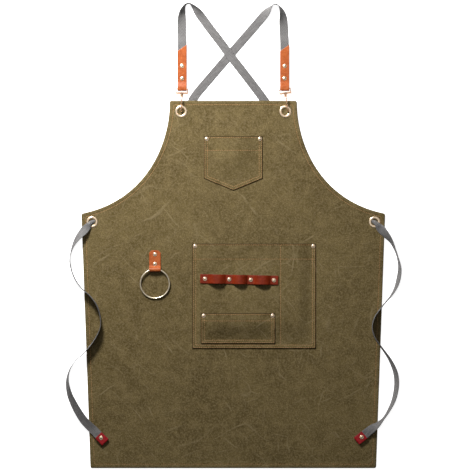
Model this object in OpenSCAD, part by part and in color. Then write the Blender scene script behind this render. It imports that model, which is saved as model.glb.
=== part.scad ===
// Bib apron laid flat, front side up, with cross-back webbing straps on snap hooks.
// Millimetres. +Z is up, off the surface it lies on; +Y runs from the hem to the bib.

/* [Canvas panel] */
// Width between the two waist corners
waist_w = 702; // [680:1:730]
// Width of the bottom edge
bottom_w = 660; // [640:1:690]
// Width of the bib's top edge
bib_w = 294; // [285:1:310]
// Length from the bottom edge to the bib's top edge
panel_h = 849; // [845:1:855]
// Length of the side edges, from the bottom edge to the waist corners
side_h = 588; // [584:1:592]
// Thickness of the canvas
canvas_t = 1.1; // [0.8:0.1:1.2]
// Width of the turned hem
hem_w = 10; // [8:1:12]
// Height of the turned hem under the canvas
hem_t = 3.5; // [3.5:0.1:4]

/* [Chest pocket] */
// Width of the chest pocket
chest_w = 136; // [120:1:140]
// Height of its sides
chest_side = 97; // [85:1:100]
// Depth of the point below its sides
chest_tip = 28; // [20:1:30]
// Height of its mouth above the bottom edge
chest_top = 766; // [750:1:770]
// Free height inside, for a phone
chest_depth = 9; // [8:0.5:10]

/* [Tool pocket] */
// Width of the tool pocket
tool_w = 286; // [280:1:290]
// Height of the tool pocket
tool_h = 242; // [236:1:246]
// Middle of the tool pocket, across the panel
tool_x = 48; // [44:1:50]
// Height of its mouth above the bottom edge
tool_top = 518; // [510:1:520]
// Place of the divider seam, across the panel
divider_x = 109; // [105:1:120]
// Free height inside
tool_depth = 6.2; // [6:0.1:7]

/* [Small pocket] */
// Width of the small pocket
small_w = 172; // [160:1:174]
// Height of the small pocket
small_h = 70; // [60:1:70]
// Middle of the small pocket, across the panel
small_x = 11; // [9:1:12]
// Height of its mouth above the bottom edge
small_top = 357.5; // [357:0.5:358]
// Free height inside
small_depth = 5; // [5:0.1:6]

/* [Tool strap] */
// Height of the strap's middle above the bottom edge
strap_y = 436; // [430:1:440]
// Width of the leather strap
strap_w = 21.7; // [18:0.1:24]
// Thickness of the leather strap
strap_t = 2; // [1.6:0.1:2.4]
// Free height under each loop
loop_h = 8; // [7:0.5:10]
// Tilt of the strap
strap_tilt = -1.2; // [-2:0.1:0]

/* [Towel loop and ring] */
// Middle of the towel loop, across the panel
towel_x = -181; // [-190:1:-170]
// Height of the loop's top end above the bottom edge
towel_top = 503; // [498:1:506]
// Width of the leather
towel_w = 26.8; // [22:0.2:28]
// Radius of the ring, to the middle of its wire
ring_r = 33.5; // [30:0.5:36]
// Radius of the ring's wire
ring_wire = 1.8; // [1.6:0.1:1.8]

/* [Shoulder tabs and hooks] */
// Distance of each tab from the middle of the apron
tab_x = 118.5; // [117:0.5:120]
// Width of a tab
tab_w = 21.6; // [20:0.2:21.6]
// Thickness of the tab leather
tab_t = 1.7; // [1.4:0.1:1.7]
// Distance of each bib grommet from the middle of the apron
bib_grommet_x = 120.5; // [119:0.5:121]
// Slant of the left hook
left_slant = -2; // [-3:0.5:0]
// Slant of the right hook
right_slant = 8; // [4:0.5:8]

/* [Webbing] */
// Width of the webbing
web_w = 20; // [18:1:20]
// Thickness of the webbing
web_t = 1.4; // [1.2:0.1:1.4]
// Distance of each waist grommet from the middle of the apron
waist_grommet_x = 326.5; // [326:0.5:327]
// Height of the waist grommets above the bottom edge
waist_grommet_y = 568.7; // [568:0.1:569]

/* [Hidden] */
$fn = 48;

// Levels above the surface that the apron lies on.
canvas_top = hem_t + canvas_t;
tool_front = canvas_top + tool_depth + canvas_t;

// Rivets.
rivet_r = 4.65;
rivet_h = 1.5;
post_r = 1.6;
post_hole_r = 1.7;
back_r = 4.2;
back_h = 0.9;

// Pocket seams: the stitched margin that lies flat, and where its corner rivets sit.
seam_w = 12;
small_seam_w = 11.5;
tool_bottom_seam = 10;
rivet_in = 6.5;
rivet_down = 5;
divider_t = 3;

// Grommets.
bib_grommet_y = panel_h - 25;
bib_hole_r = 8.4;
waist_hole_r = 7.6;
bib_flange_r = 14;
waist_flange_r = 13.25;
flange_h = 1.1;
barrel_t = 0.8;
barrel_gap = 0.1;
washer_t = 0.6;

// Shoulder tabs: a strip folded round the top bar of the strap loop.
tab_bottom = panel_h + 22;
tab_top_low = panel_h + 114;
tab_top_high = panel_h + 129;
hook_z = 6.8;
bar_r = 1;
fold_inner_r = 1.2;
fold_slot = 4;
fold_outer_r = fold_inner_r + tab_t;
fold_y = tab_bottom + fold_outer_r;
bar_y = fold_y + fold_slot / 2;
tab_rear_z = 1;
tab_front_z = tab_rear_z + tab_t + web_t + 0.2;
tab_slope_start = fold_y + 7;
tab_slope_end = fold_y + 19;
tab_rivet_ys = [panel_h + 51.5, panel_h + 80];

// Strap loop and hook, in the hook's own frame: origin at the middle of the loop's
// top bar, -Y towards the nose of the hook.
arm_x = 12.9;
base_top = -7.9;
base_bottom = -12;
base_t = 2.6;
boss_r = 3.4;
boss_bottom = -14.7;
swivel_r = 1.5;
swivel_gap = 0.05;
swivel_head_r = 2.5;
swivel_head_t = 1.4;
counterbore_r = 2.8;
counterbore_t = 2;
hook_wire = 1.2;
hook_bend = 5.45;
hook_upper_y = -23.2;
hook_nose_y = -47;
hook_tip_y = -44.2;
gate_pivot_y = -28.4;
gate_ear_r = 1.9;
gate_ear_w = 3.8;
gate_slot_w = 2.2;
gate_tongue_w = 1.3;
gate_wire = 1.1;
gate_pin_r = 0.5;
gate_pin_gap = 0.05;

// Towel loop and ring.
towel_t = 1.4;
towel_inner_r = 3.5;
towel_gap = 0.05;
towel_knee = [2.6, 3];
towel_outer_r = towel_inner_r + towel_t;
towel_axis_z = canvas_top + towel_outer_r;
towel_axis_y = 458.3;
towel_rivet_ys = [472, 494];
ring_offset = 1.4;
ring_centre = ring_r - ring_offset;
ring_tilt = asin((towel_axis_z - canvas_top - ring_wire - 0.1) / (ring_centre + ring_r));

// Tool strap.
strap_rivet_xs = [-65.4, -9.5, 40.2, 93.8];
strap_ends = [-76, 103.3];
pad_w = 8;

// Tie ends: a leather strip folded round the end of the webbing.
tie_end_l = 24;
tie_end_w = 21;
tie_leather_t = 1.6;
tie_gap = web_t + 0.1;
tie_back_h = 0.7;
tie_rear_z = canvas_top + 0.1 + tie_back_h;
tie_front_z = tie_rear_z + tie_leather_t + tie_gap;
left_tie_at = [-303, 68, -45.7];
right_tie_at = [293.5, 70, 218.9];
tie_rivet_in = -3.5;

// The middle of the apron without its webbing, so that the origin is under its centre.
centre_y = tab_top_high / 2;

// Webbing routes. Each row: X, Y, height of the lower edge, roll (0 flat, 90 on edge), and the
// share of its width that the webbing keeps where a grommet gathers it.
left_route = [
    [-118.5, 893, 2.8, 0, 1], [-118.5, 981, 2.8, 0, 1],
    [-119, 1004, 0.3, 0, 1], [-119, 1028, 0.2, 5, 1], [-118.5, 1046, 0.2, 30, 1],
    [-116, 1060, 0.2, 62, 1], [-110, 1071, 0.2, 85, 1], [-102, 1074, 0.2, 90, 1],
    [-94, 1068, 0.2, 75, 1], [-85, 1057, 0.2, 40, 1], [-74, 1043, 0.2, 8, 1],
    [-54, 1016, 0.3, 0, 1], [-31, 986, 0.9, 0, 1], [-20, 971, 1.7, 0, 1],
    [-8, 955, 1.9, 0, 1], [4, 939, 1.7, 0, 1], [15, 925, 0.9, 0, 1],
    [51, 878, 0.3, 0, 1], [68, 855, 0.3, 0, 1], [92, 820, 0.3, 0, 1],
    [114, 782, 0.3, 0, 1], [134, 740, 0.3, 0, 1], [156, 698, 0.3, 0, 1],
    [182, 660, 0.3, 0, 1], [214, 626, 0.3, 0, 1], [252, 600, 0.3, 0, 1],
    [286, 584, 0.3, 0, 1], [311, 575, 0.3, 0, 0.9], [320.5, 571.5, 0.9, 0, 0.55],
    [331, 564.5, 6.2, 0, 0.55], [337, 557, 5.9, 8, 0.85],
    [343, 550, 5.1, 22, 1], [352, 540, 4.7, 40, 1], [363, 526, 3, 65, 1],
    [371, 510, 0.5, 80, 1], [379, 488, 0.2, 85, 1], [384, 462, 0.2, 72, 1],
    [381, 436, 0.2, 66, 1], [374, 415, 0.5, 75, 1], [362, 396, 2.6, 85, 1],
    [350, 382, 4.8, 88, 1], [338, 367, 4.8, 90, 1], [327, 351, 4.8, 90, 1],
    [320.5, 329, 4.8, 90, 1], [325, 305, 4.8, 88, 1], [337, 286, 4.8, 85, 1],
    [350, 268, 4.5, 80, 1], [362, 250, 1, 72, 1], [374, 222, 0.2, 62, 1],
    [377, 194, 0.2, 60, 1], [371, 160, 0.2, 66, 1], [360, 136, 1, 75, 1],
    [347, 116, 3.4, 80, 1], [334, 102, 4.8, 60, 1], [322, 93, 4.9, 28, 1],
    [313, 85.7, 6, 6, 1], [304.5, 79, 7.05, 0, 1], [289, 66.5, 7.05, 0, 1]
];
right_route = [
    [118.5, 893, 2.8, 0, 1], [118, 981, 2.8, 0, 1],
    [117, 1004, 0.3, 0, 1], [116, 1026, 0.2, 5, 1], [114.5, 1045, 0.2, 35, 1],
    [110.5, 1060, 0.2, 65, 1], [103, 1070, 0.2, 87, 1], [94.5, 1072, 0.2, 90, 1],
    [86.5, 1065, 0.2, 72, 1], [78, 1055, 0.2, 35, 1], [68, 1043, 0.2, 6, 1],
    [52, 1024, 0.2, 0, 1], [-8, 955, 0.2, 0, 1], [-68, 885, 0.2, 0, 1],
    [-84, 866, 0.3, 0, 1], [-94, 850, 0.3, 0, 1], [-99, 830, 0.3, 0, 1],
    [-104, 804, 0.3, 0, 1], [-112, 770, 0.3, 0, 1], [-127, 730, 0.3, 0, 1],
    [-150, 690, 0.3, 0, 1], [-179, 654, 0.3, 0, 1], [-214, 623, 0.3, 0, 1],
    [-252, 600, 0.3, 0, 1], [-286, 584, 0.3, 0, 1], [-311, 575, 0.3, 0, 0.9],
    [-320.5, 571.5, 0.9, 0, 0.55], [-331, 564.5, 6.2, 0, 0.55], [-337, 557.5, 5.9, 8, 0.85],
    [-345, 548.5, 5.1, 24, 1],
    [-356, 536, 4.7, 45, 1], [-366, 521, 2.4, 65, 1], [-373, 505, 0.5, 80, 1],
    [-377.5, 481, 0.2, 88, 1], [-373, 456, 0.2, 90, 1], [-362, 432, 1.8, 90, 1],
    [-348, 414, 4.8, 90, 1], [-330, 398, 4.8, 90, 1], [-314, 375, 4.8, 90, 1],
    [-306.5, 348, 4.8, 90, 1], [-307, 326, 4.8, 88, 1], [-318, 301, 4.8, 86, 1],
    [-333, 280, 4.8, 86, 1], [-348, 263, 4.4, 88, 1], [-362, 251, 2.2, 90, 1],
    [-377, 229, 0.4, 85, 1], [-383, 202, 0.2, 70, 1], [-378, 172, 0.2, 50, 1],
    [-370, 153, 1.6, 38, 1], [-360, 134, 3.6, 28, 1], [-345, 111, 5, 18, 1],
    [-331, 96, 5.2, 8, 1], [-322, 87.5, 6, 0, 1], [-313, 78.3, 7.05, 0, 1],
    [-299, 64, 7.05, 0, 1]
];

// ---- Functions -------------------------------------------------------------------

function unit(v) = v / norm(v);
function left_of(v) = [-v.y, v.x];
function bezier(a, b, c, d, t) =
    pow(1 - t, 3) * a + 3 * pow(1 - t, 2) * t * b + 3 * (1 - t) * t * t * c + t * t * t * d;
function mirrored(points) = [for (i = [len(points) - 1:-1:0]) [-points[i].x, points[i].y]];

// Right half of the outline, from the bottom corner up to the bib's top corner.
function armhole(t) = bezier(
    [waist_w / 2, side_h], [bib_w / 2 + 51, side_h + 30],
    [bib_w / 2 - 1.5, panel_h - 95], [bib_w / 2, panel_h], t);
function half_outline() = concat([[bottom_w / 2, 0]], [for (i = [0:20]) armhole(i / 20)]);
function outline() = concat(half_outline(), mirrored(half_outline()));

// A closed outline moved inwards, corner by corner.
function inset_corner(a, p, b, d) =
    let (n1 = left_of(unit(p - a)), n2 = left_of(unit(b - p)))
    p + d * (n1 + n2) / (1 + n1 * n2);
function inset(points, d) =
    let (n = len(points))
    [for (i = [0:n - 1]) inset_corner(points[(i + n - 1) % n], points[i], points[(i + 1) % n], d)];

// The webbing's direction, its width direction and its height at ring i of a route.
function heading(r, i) =
    let (a = r[max(i - 1, 0)], b = r[min(i + 1, len(r) - 1)]) unit([b.x - a.x, b.y - a.y]);
function middle(row) =
    [row.x, row.y, row.z + sin(row[3]) * row[4] * web_w / 2 + cos(row[3]) * web_t / 2];
function ring(r, i) =
    let (h = heading(r, i), side = [-h.y, h.x, 0], roll = r[i][3], w = r[i][4] * web_w / 2)
    let (across = cos(roll) * side + [0, 0, sin(roll)])
    let (through = cross([h.x, h.y, 0], across), e = web_t / 2, m = middle(r[i]))
    [for (c = [[-w, -e / 2], [e - w, -e], [w - e, -e], [w, -e / 2],
               [w, e / 2], [w - e, e], [e - w, e], [-w, e / 2]])
        m + c.x * across + c.y * through];

// ---- Shared shapes ---------------------------------------------------------------

// Moves everything from the bottom edge's middle to the origin under the apron's middle.
module placed() translate([0, -centre_y, 0]) children();

// A low dome of radius r and height h, standing on z = 0.
module dome(r, h) {
    ball = (r * r + h * h) / (2 * h);
    rotate_extrude()
        intersection() {
            translate([0, h - ball]) circle(ball, $fn = 96);
            square([r, h]);
        }
}

module rivet(at, top, bottom) {
    translate([at.x, at.y, top]) dome(rivet_r, rivet_h);
    translate([at.x, at.y, bottom]) cylinder(r = post_r, h = top - bottom);
}

module rivet_back(at, top, h = back_h)
    translate([at.x, at.y, top - h])
        difference() {
            cylinder(r = back_r, h = h);
            translate([0, 0, -1]) cylinder(r = post_hole_r, h = h + 2);
        }

module post_holes(spots, low, high)
    for (p = spots)
        translate([p.x, p.y, low]) cylinder(r = post_hole_r, h = high - low);

module bar_x(r, l) rotate([0, 90, 0]) cylinder(r = r, h = l, center = true);
module bar_y(r, y0, y1) translate([0, y1, 0]) rotate([90, 0, 0]) cylinder(r = r, h = y1 - y0);

// Extrudes a side profile, drawn in (Y, Z), by a width along X.
module across_x(w)
    translate([-w / 2, 0, 0]) rotate([90, 0, 90]) linear_extrude(w) children();

// A pocket: a seam that lies flat round three sides and a raised front, open at the mouth.
module pocket(outer, inner, hollow, depth)
    difference() {
        union() {
            linear_extrude(canvas_t) polygon(outer);
            linear_extrude(depth + canvas_t) polygon(inner);
        }
        translate([0, 0, -1]) linear_extrude(depth + 1) polygon(hollow);
    }

function box_pocket(x, w, top, h, side, bottom, rise) = [
    [x - w / 2 + side, top - h + bottom], [x + w / 2 - side, top - h + bottom],
    [x + w / 2 - side, top + rise], [x - w / 2 + side, top + rise]
];

function chest_outline(side, rise) =
    let (w = chest_w / 2 - side, low = chest_top - chest_side + side * 0.8)
    [[-w, low], [0, low - chest_tip * w / (chest_w / 2)], [w, low],
     [w, chest_top + rise], [-w, chest_top + rise]];

// ---- Canvas and pockets ----------------------------------------------------------

function pocket_corners(x, w, top) = [
    [x - w / 2 + rivet_in, top - rivet_down], [x + w / 2 - rivet_in, top - rivet_down]
];
chest_rivets = pocket_corners(0, chest_w, chest_top);
tool_rivets = pocket_corners(tool_x, tool_w, tool_top);
small_rivets = pocket_corners(small_x, small_w, small_top);
towel_rivets = [for (y = towel_rivet_ys) [towel_x, y]];
strap_mid = (strap_ends[0] + strap_ends[1]) / 2;
function on_strap(x) =
    [strap_mid + (x - strap_mid) * cos(strap_tilt), strap_y + (x - strap_mid) * sin(strap_tilt)];
strap_rivets = [for (x = strap_rivet_xs) on_strap(x)];
tab_rivets = [for (x = [-tab_x, tab_x], y = tab_rivet_ys) [x, y]];
bib_grommet_spots = [for (s = [-1, 1]) [s * bib_grommet_x, bib_grommet_y]];
waist_grommet_spots = [for (s = [-1, 1]) [s * waist_grommet_x, waist_grommet_y]];

module canvas_panel()
    color("darkolivegreen") placed()
        difference() {
            translate([0, 0, hem_t]) linear_extrude(canvas_t) polygon(outline());
            post_holes(concat(chest_rivets, tool_rivets, towel_rivets), hem_t - 1, canvas_top + 1);
            for (p = bib_grommet_spots)
                translate([p.x, p.y, hem_t - 1])
                    cylinder(r = bib_hole_r + barrel_t + barrel_gap, h = canvas_t + 2);
            for (p = waist_grommet_spots)
                translate([p.x, p.y, hem_t - 1])
                    cylinder(r = waist_hole_r + barrel_t + barrel_gap, h = canvas_t + 2);
        }

// The turned hem: a rim all round under the canvas.
module canvas_hem()
    color("darkolivegreen") placed()
        difference() {
            linear_extrude(hem_t) polygon(outline());
            translate([0, 0, -1]) linear_extrude(hem_t + 2) polygon(inset(outline(), hem_w));
            hem_notches();
        }

// Places along the bib's top where straps and hooks pass under the canvas.
module hem_notches() {
    for (span = [[-126, -78], [55, 97], [114, 131]])
        translate([span[0], panel_h - hem_w - 1, -1])
            cube([span[1] - span[0], hem_w + 2, hem_t + 1]);
}

module chest_pocket()
    color("olivedrab") placed()
        difference() {
            translate([0, 0, canvas_top])
                pocket(chest_outline(0, 0), chest_outline(seam_w, 0),
                       chest_outline(seam_w + canvas_t, 1), chest_depth);
            post_holes(chest_rivets, canvas_top - 1, canvas_top + 2);
        }

module tool_pocket()
    color("olivedrab") placed()
        difference() {
            translate([0, 0, canvas_top]) {
                pocket(box_pocket(tool_x, tool_w, tool_top, tool_h, 0, 0, 0),
                       box_pocket(tool_x, tool_w, tool_top, tool_h, seam_w, tool_bottom_seam, 0),
                       box_pocket(tool_x, tool_w, tool_top, tool_h, seam_w + canvas_t,
                                  tool_bottom_seam + canvas_t, 1), tool_depth);
                translate([divider_x - divider_t / 2, tool_top - tool_h + tool_bottom_seam, 0])
                    cube([divider_t, tool_h - tool_bottom_seam, tool_depth + canvas_t / 2]);
            }
            post_holes(tool_rivets, canvas_top - 1, canvas_top + 2);
            post_holes(concat(small_rivets, strap_rivets), tool_front - 2, tool_front + 1);
        }

module small_pocket()
    color("olivedrab") placed()
        difference() {
            translate([0, 0, tool_front])
                pocket(box_pocket(small_x, small_w, small_top, small_h, 0, 0, 0),
                       box_pocket(small_x, small_w, small_top, small_h, small_seam_w, small_seam_w, 0),
                       box_pocket(small_x, small_w, small_top, small_h, small_seam_w + canvas_t,
                                  small_seam_w + canvas_t, 1), small_depth);
            post_holes(small_rivets, tool_front - 1, tool_front + 2);
        }

// ---- Grommets and rivets ---------------------------------------------------------

// The front half of a grommet: a rounded flange and the barrel through the canvas.
module grommet(at, hole_r, flange_r) {
    half = (flange_r - hole_r) / 2;
    crown = (half * half + flange_h * flange_h) / (2 * flange_h);
    translate([at.x, at.y, canvas_top])
        rotate_extrude($fn = 96)
            intersection() {
                translate([hole_r + half, flange_h - crown]) circle(crown, $fn = 96);
                translate([hole_r, 0]) square([2 * half, flange_h]);
            }
    translate([at.x, at.y, hem_t - washer_t])
        difference() {
            cylinder(r = hole_r + barrel_t, h = canvas_t + washer_t);
            translate([0, 0, -1]) cylinder(r = hole_r, h = canvas_t + washer_t + 2);
        }
}

module washer(at, hole_r, flange_r)
    translate([at.x, at.y, hem_t - washer_t])
        difference() {
            cylinder(r = flange_r, h = washer_t);
            translate([0, 0, -1]) cylinder(r = hole_r + barrel_t + barrel_gap, h = washer_t + 2);
        }

module bib_grommets()
    color("gold") placed()
        for (p = bib_grommet_spots) grommet(p, bib_hole_r, bib_flange_r);

module bib_grommet_washers()
    color("gold") placed()
        for (p = bib_grommet_spots) washer(p, bib_hole_r, bib_flange_r - 0.8);

module waist_grommets()
    color("gold") placed()
        for (p = waist_grommet_spots) grommet(p, waist_hole_r, waist_flange_r);

module waist_grommet_washers()
    color("gold") placed()
        for (p = waist_grommet_spots) washer(p, waist_hole_r, waist_flange_r - 0.8);

module rivets(spots, top, bottom)
    color("gold") placed()
        for (p = spots) rivet(p, top, bottom);

module rivet_backs(spots, top, h = back_h)
    color("gold") placed()
        for (p = spots) rivet_back(p, top, h);

module chest_pocket_rivets() rivets(chest_rivets, canvas_top + canvas_t, hem_t - back_h);
module chest_pocket_rivet_backs() rivet_backs(chest_rivets, hem_t);
module tool_pocket_rivets() rivets(tool_rivets, canvas_top + canvas_t, hem_t - back_h);
module tool_pocket_rivet_backs() rivet_backs(tool_rivets, hem_t);
module small_pocket_rivets()
    rivets(small_rivets, tool_front + canvas_t, tool_front - canvas_t - back_h);
module small_pocket_rivet_backs() rivet_backs(small_rivets, tool_front - canvas_t);
module tool_strap_rivets()
    rivets(strap_rivets, tool_front + strap_t, tool_front - canvas_t - back_h);
module tool_strap_rivet_backs() rivet_backs(strap_rivets, tool_front - canvas_t);
module towel_loop_rivets()
    rivets(towel_rivets, canvas_top + 2 * towel_t + towel_gap, hem_t - back_h);
module towel_loop_rivet_backs() rivet_backs(towel_rivets, hem_t);
module shoulder_tab_rivets() rivets(tab_rivets, tab_front_z + tab_t, tab_rear_z - back_h);
module shoulder_tab_rivet_backs() rivet_backs(tab_rivets, tab_rear_z);

// ---- Leather ---------------------------------------------------------------------

// One loop of the tool strap between two rivet pads, in (X, Z).
module strap_arch(x0, x1) {
    half = (x1 - x0) / 2 - pad_w;
    r = (half * half + loop_h * loop_h) / (2 * loop_h);
    translate([(x0 + x1) / 2, 0])
        intersection() {
            translate([0, loop_h - r])
                difference() {
                    circle(r + strap_t, $fn = 96);
                    circle(r, $fn = 96);
                }
            translate([-half - pad_w, 0]) square([2 * (half + pad_w), loop_h + strap_t]);
        }
}

module tool_strap()
    color("sienna") placed()
        difference() {
            translate([strap_mid, strap_y, tool_front])
                rotate([0, 0, strap_tilt])
                    translate([-strap_mid, strap_w / 2, 0])
                        rotate([90, 0, 0])
                            linear_extrude(strap_w) {
                                for (i = [0:3])
                                    translate([strap_rivet_xs[i] - pad_w, 0])
                                        square([2 * pad_w, strap_t]);
                                for (i = [0:2]) strap_arch(strap_rivet_xs[i], strap_rivet_xs[i + 1]);
                                translate([strap_ends[0], 0]) square([pad_w, strap_t]);
                                translate([strap_ends[1] - pad_w, 0]) square([pad_w, strap_t]);
                            }
            post_holes(strap_rivets, tool_front - 1, tool_front + strap_t + 1);
        }

// The towel loop's side profile in (Y, Z): a fold round the ring and two layers above it.
// The front layer's knee leaves the ring room to swing over it.
module towel_profile() {
    lay = towel_rivet_ys[0] - 5;
    rear = canvas_top + towel_t;
    front = rear + towel_gap;
    difference() {
        union() {
            translate([towel_axis_y, towel_axis_z]) circle(towel_outer_r);
            polygon([
                [towel_axis_y, canvas_top], [towel_top, canvas_top], [towel_top, front + towel_t],
                [lay, front + towel_t],
                [towel_axis_y + towel_knee.x + 0.9, towel_axis_z + towel_knee.y + 1.1],
                [towel_axis_y, towel_axis_z + towel_outer_r]
            ]);
        }
        translate([towel_axis_y, towel_axis_z]) circle(towel_inner_r);
        polygon([
            [towel_axis_y, rear], [towel_top + 1, rear], [towel_top + 1, front], [lay, front],
            [towel_axis_y + towel_knee.x, towel_axis_z + towel_knee.y],
            [towel_axis_y, towel_axis_z + towel_inner_r]
        ]);
    }
}

module towel_loop()
    color("peru") placed()
        difference() {
            translate([towel_x, 0, 0])
                intersection() {
                    across_x(towel_w) towel_profile();
                    translate([0, 0, canvas_top])
                        linear_extrude(20)
                            polygon([
                                [-towel_w / 2, 440], [towel_w / 2, 440], [towel_w / 2, towel_top - 6],
                                [towel_w / 2 - 6, towel_top], [6 - towel_w / 2, towel_top],
                                [-towel_w / 2, towel_top - 6]
                            ]);
                }
            post_holes(towel_rivets, canvas_top - 1, canvas_top + 4);
        }

module towel_ring()
    color("lightgray") placed()
        translate([towel_x, towel_axis_y, towel_axis_z])
            rotate([ring_tilt, 0, 0])
                translate([0, -ring_centre, 0])
                    rotate_extrude($fn = 96)
                        translate([ring_r, 0]) circle(ring_wire, $fn = 32);

// A shoulder tab's side profile in (Y, Z).
module tab_profile() {
    difference() {
        translate([fold_y, hook_z]) circle(fold_outer_r);
        translate([fold_y, hook_z]) circle(fold_inner_r);
        translate([fold_y, hook_z - 10]) square([20, 20]);
    }
    for (side = [-1, 1]) {
        low = side < 0 ? hook_z - fold_outer_r : hook_z + fold_inner_r;
        end = side < 0 ? tab_rear_z : tab_front_z;
        polygon([
            [fold_y, low], [tab_slope_start, low], [tab_slope_end, end], [tab_top_high, end],
            [tab_top_high, end + tab_t], [tab_slope_end, end + tab_t],
            [tab_slope_start, low + tab_t], [fold_y, low + tab_t]
        ]);
    }
}

module shoulder_tab(x)
    color("peru") placed()
        difference() {
            translate([x, 0, 0])
                intersection() {
                    across_x(tab_w) tab_profile();
                    linear_extrude(20)
                        polygon([
                            [-tab_w / 2, tab_bottom - 5], [tab_w / 2, tab_bottom - 5],
                            [tab_w / 2, tab_top_high], [-tab_w / 2, tab_top_low]
                        ]);
                }
            post_holes(tab_rivets, tab_rear_z - 1, tab_front_z + tab_t + 1);
        }

module left_shoulder_tab() shoulder_tab(-tab_x);
module right_shoulder_tab() shoulder_tab(tab_x);

// A tie end in its own frame: +X along the webbing, towards the fold.
module tie_end(at)
    color("crimson") placed()
        translate([at.x, at.y, 0])
            rotate([0, 0, at.z])
                difference() {
                    translate([-tie_end_l / 2, -tie_end_w / 2, tie_rear_z])
                        cube([tie_end_l, tie_end_w, 2 * tie_leather_t + tie_gap]);
                    translate([-tie_end_l / 2 - 1, -tie_end_w, tie_rear_z + tie_leather_t])
                        cube([tie_end_l + 1 - tie_leather_t, 2 * tie_end_w, tie_gap]);
                    post_holes([[tie_rivet_in, 0]], tie_rear_z - 1, tie_rear_z + 8);
                }

function tie_rivet(at) = [at.x + tie_rivet_in * cos(at.z), at.y + tie_rivet_in * sin(at.z)];
tie_rivets = [tie_rivet(left_tie_at), tie_rivet(right_tie_at)];

module left_tie_end() tie_end(left_tie_at);
module right_tie_end() tie_end(right_tie_at);
module tie_end_rivets() rivets(tie_rivets, tie_front_z + tie_leather_t, tie_rear_z - tie_back_h);
module tie_end_rivet_backs() rivet_backs(tie_rivets, tie_rear_z, tie_back_h);

// ---- Snap hooks ------------------------------------------------------------------

// Puts a piece drawn in the hook's own frame at a tab, slanted in the apron's plane.
module at_hook(x, slant)
    placed() translate([x, bar_y, hook_z]) rotate([0, 0, slant]) children();

module strap_loop()
    color("gainsboro")
        difference() {
            union() {
                bar_x(bar_r, 2 * arm_x);
                for (s = [-1, 1])
                    translate([s * arm_x, 0, 0]) {
                        bar_y(bar_r, base_bottom + 1, 0);
                        sphere(bar_r);
                    }
                translate([-arm_x - bar_r, base_bottom, -base_t / 2])
                    cube([2 * (arm_x + bar_r), base_top - base_bottom, base_t]);
                bar_y(boss_r, boss_bottom, base_top);
            }
            bar_y(swivel_r + swivel_gap, boss_bottom - 1, base_top + 1);
            bar_y(counterbore_r, base_top - counterbore_t, base_top + 1);
        }

// Half of a ring of wire in the (Y, Z) plane, bulging towards side * Y.
module hook_bend_half(y, side)
    translate([0, y, 0])
        rotate([0, 90, 0])
            rotate([0, 0, side > 0 ? 0 : 180])
                rotate_extrude(angle = 180, $fn = 64)
                    translate([hook_bend, 0]) circle(hook_wire, $fn = 32);

module hook_body()
    color("gainsboro")
        difference() {
            union() {
                bar_y(swivel_r, boss_bottom - 3, base_top - 0.5);
                bar_y(swivel_head_r, base_top - 0.4 - swivel_head_t, base_top - 0.4);
                bar_y(2.8, hook_upper_y + hook_bend, boss_bottom - 0.15);
                hook_bend_half(hook_upper_y, 1);
                hook_bend_half(hook_nose_y, -1);
                translate([0, 0, -hook_bend]) bar_y(hook_wire, hook_nose_y, hook_upper_y);
                translate([0, 0, hook_bend]) {
                    bar_y(hook_wire, hook_nose_y, hook_tip_y);
                    bar_y(hook_wire, gate_pivot_y, hook_upper_y);
                    translate([0, gate_pivot_y, 0]) bar_x(gate_ear_r, gate_ear_w);
                }
            }
            translate([-gate_slot_w / 2, gate_pivot_y - 4, hook_bend - 3])
                cube([gate_slot_w, 4 + gate_ear_r + 0.4, 6]);
            translate([0, gate_pivot_y, hook_bend]) bar_x(gate_pin_r, gate_ear_w + 2);
        }

module gate_lever()
    color("gainsboro")
        translate([0, gate_pivot_y, hook_bend])
            difference() {
                union() {
                    translate([-0.35, 0, 0]) {
                        bar_x(1.7, gate_tongue_w);
                        translate([-gate_tongue_w / 2, -3.2, -gate_wire])
                            cube([gate_tongue_w, 3.2, 2 * gate_wire]);
                    }
                    bar_y(gate_wire, hook_tip_y - gate_pivot_y + 0.3, -2.4);
                }
                translate([-0.35, 0, 0]) bar_x(gate_pin_r + gate_pin_gap, gate_tongue_w + 2);
            }

module gate_pin()
    color("silver")
        translate([0, gate_pivot_y, hook_bend]) bar_x(gate_pin_r, gate_ear_w);

// The coil of the gate's torsion spring, beside the gate's tongue on the pin.
module gate_spring()
    color("silver")
        translate([0.72, gate_pivot_y, hook_bend])
            difference() {
                bar_x(1.15, 0.6);
                bar_x(gate_pin_r + gate_pin_gap, 2);
            }

module left_strap_loop() at_hook(-tab_x, left_slant) strap_loop();
module right_strap_loop() at_hook(tab_x, right_slant) strap_loop();
module left_hook() at_hook(-tab_x, left_slant) hook_body();
module right_hook() at_hook(tab_x, right_slant) hook_body();
module left_gate() at_hook(-tab_x, left_slant) gate_lever();
module right_gate() at_hook(tab_x, right_slant) gate_lever();
module left_gate_pin() at_hook(-tab_x, left_slant) gate_pin();
module right_gate_pin() at_hook(tab_x, right_slant) gate_pin();
module left_gate_spring() at_hook(-tab_x, left_slant) gate_spring();
module right_gate_spring() at_hook(tab_x, right_slant) gate_spring();

// ---- Webbing ---------------------------------------------------------------------

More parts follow.
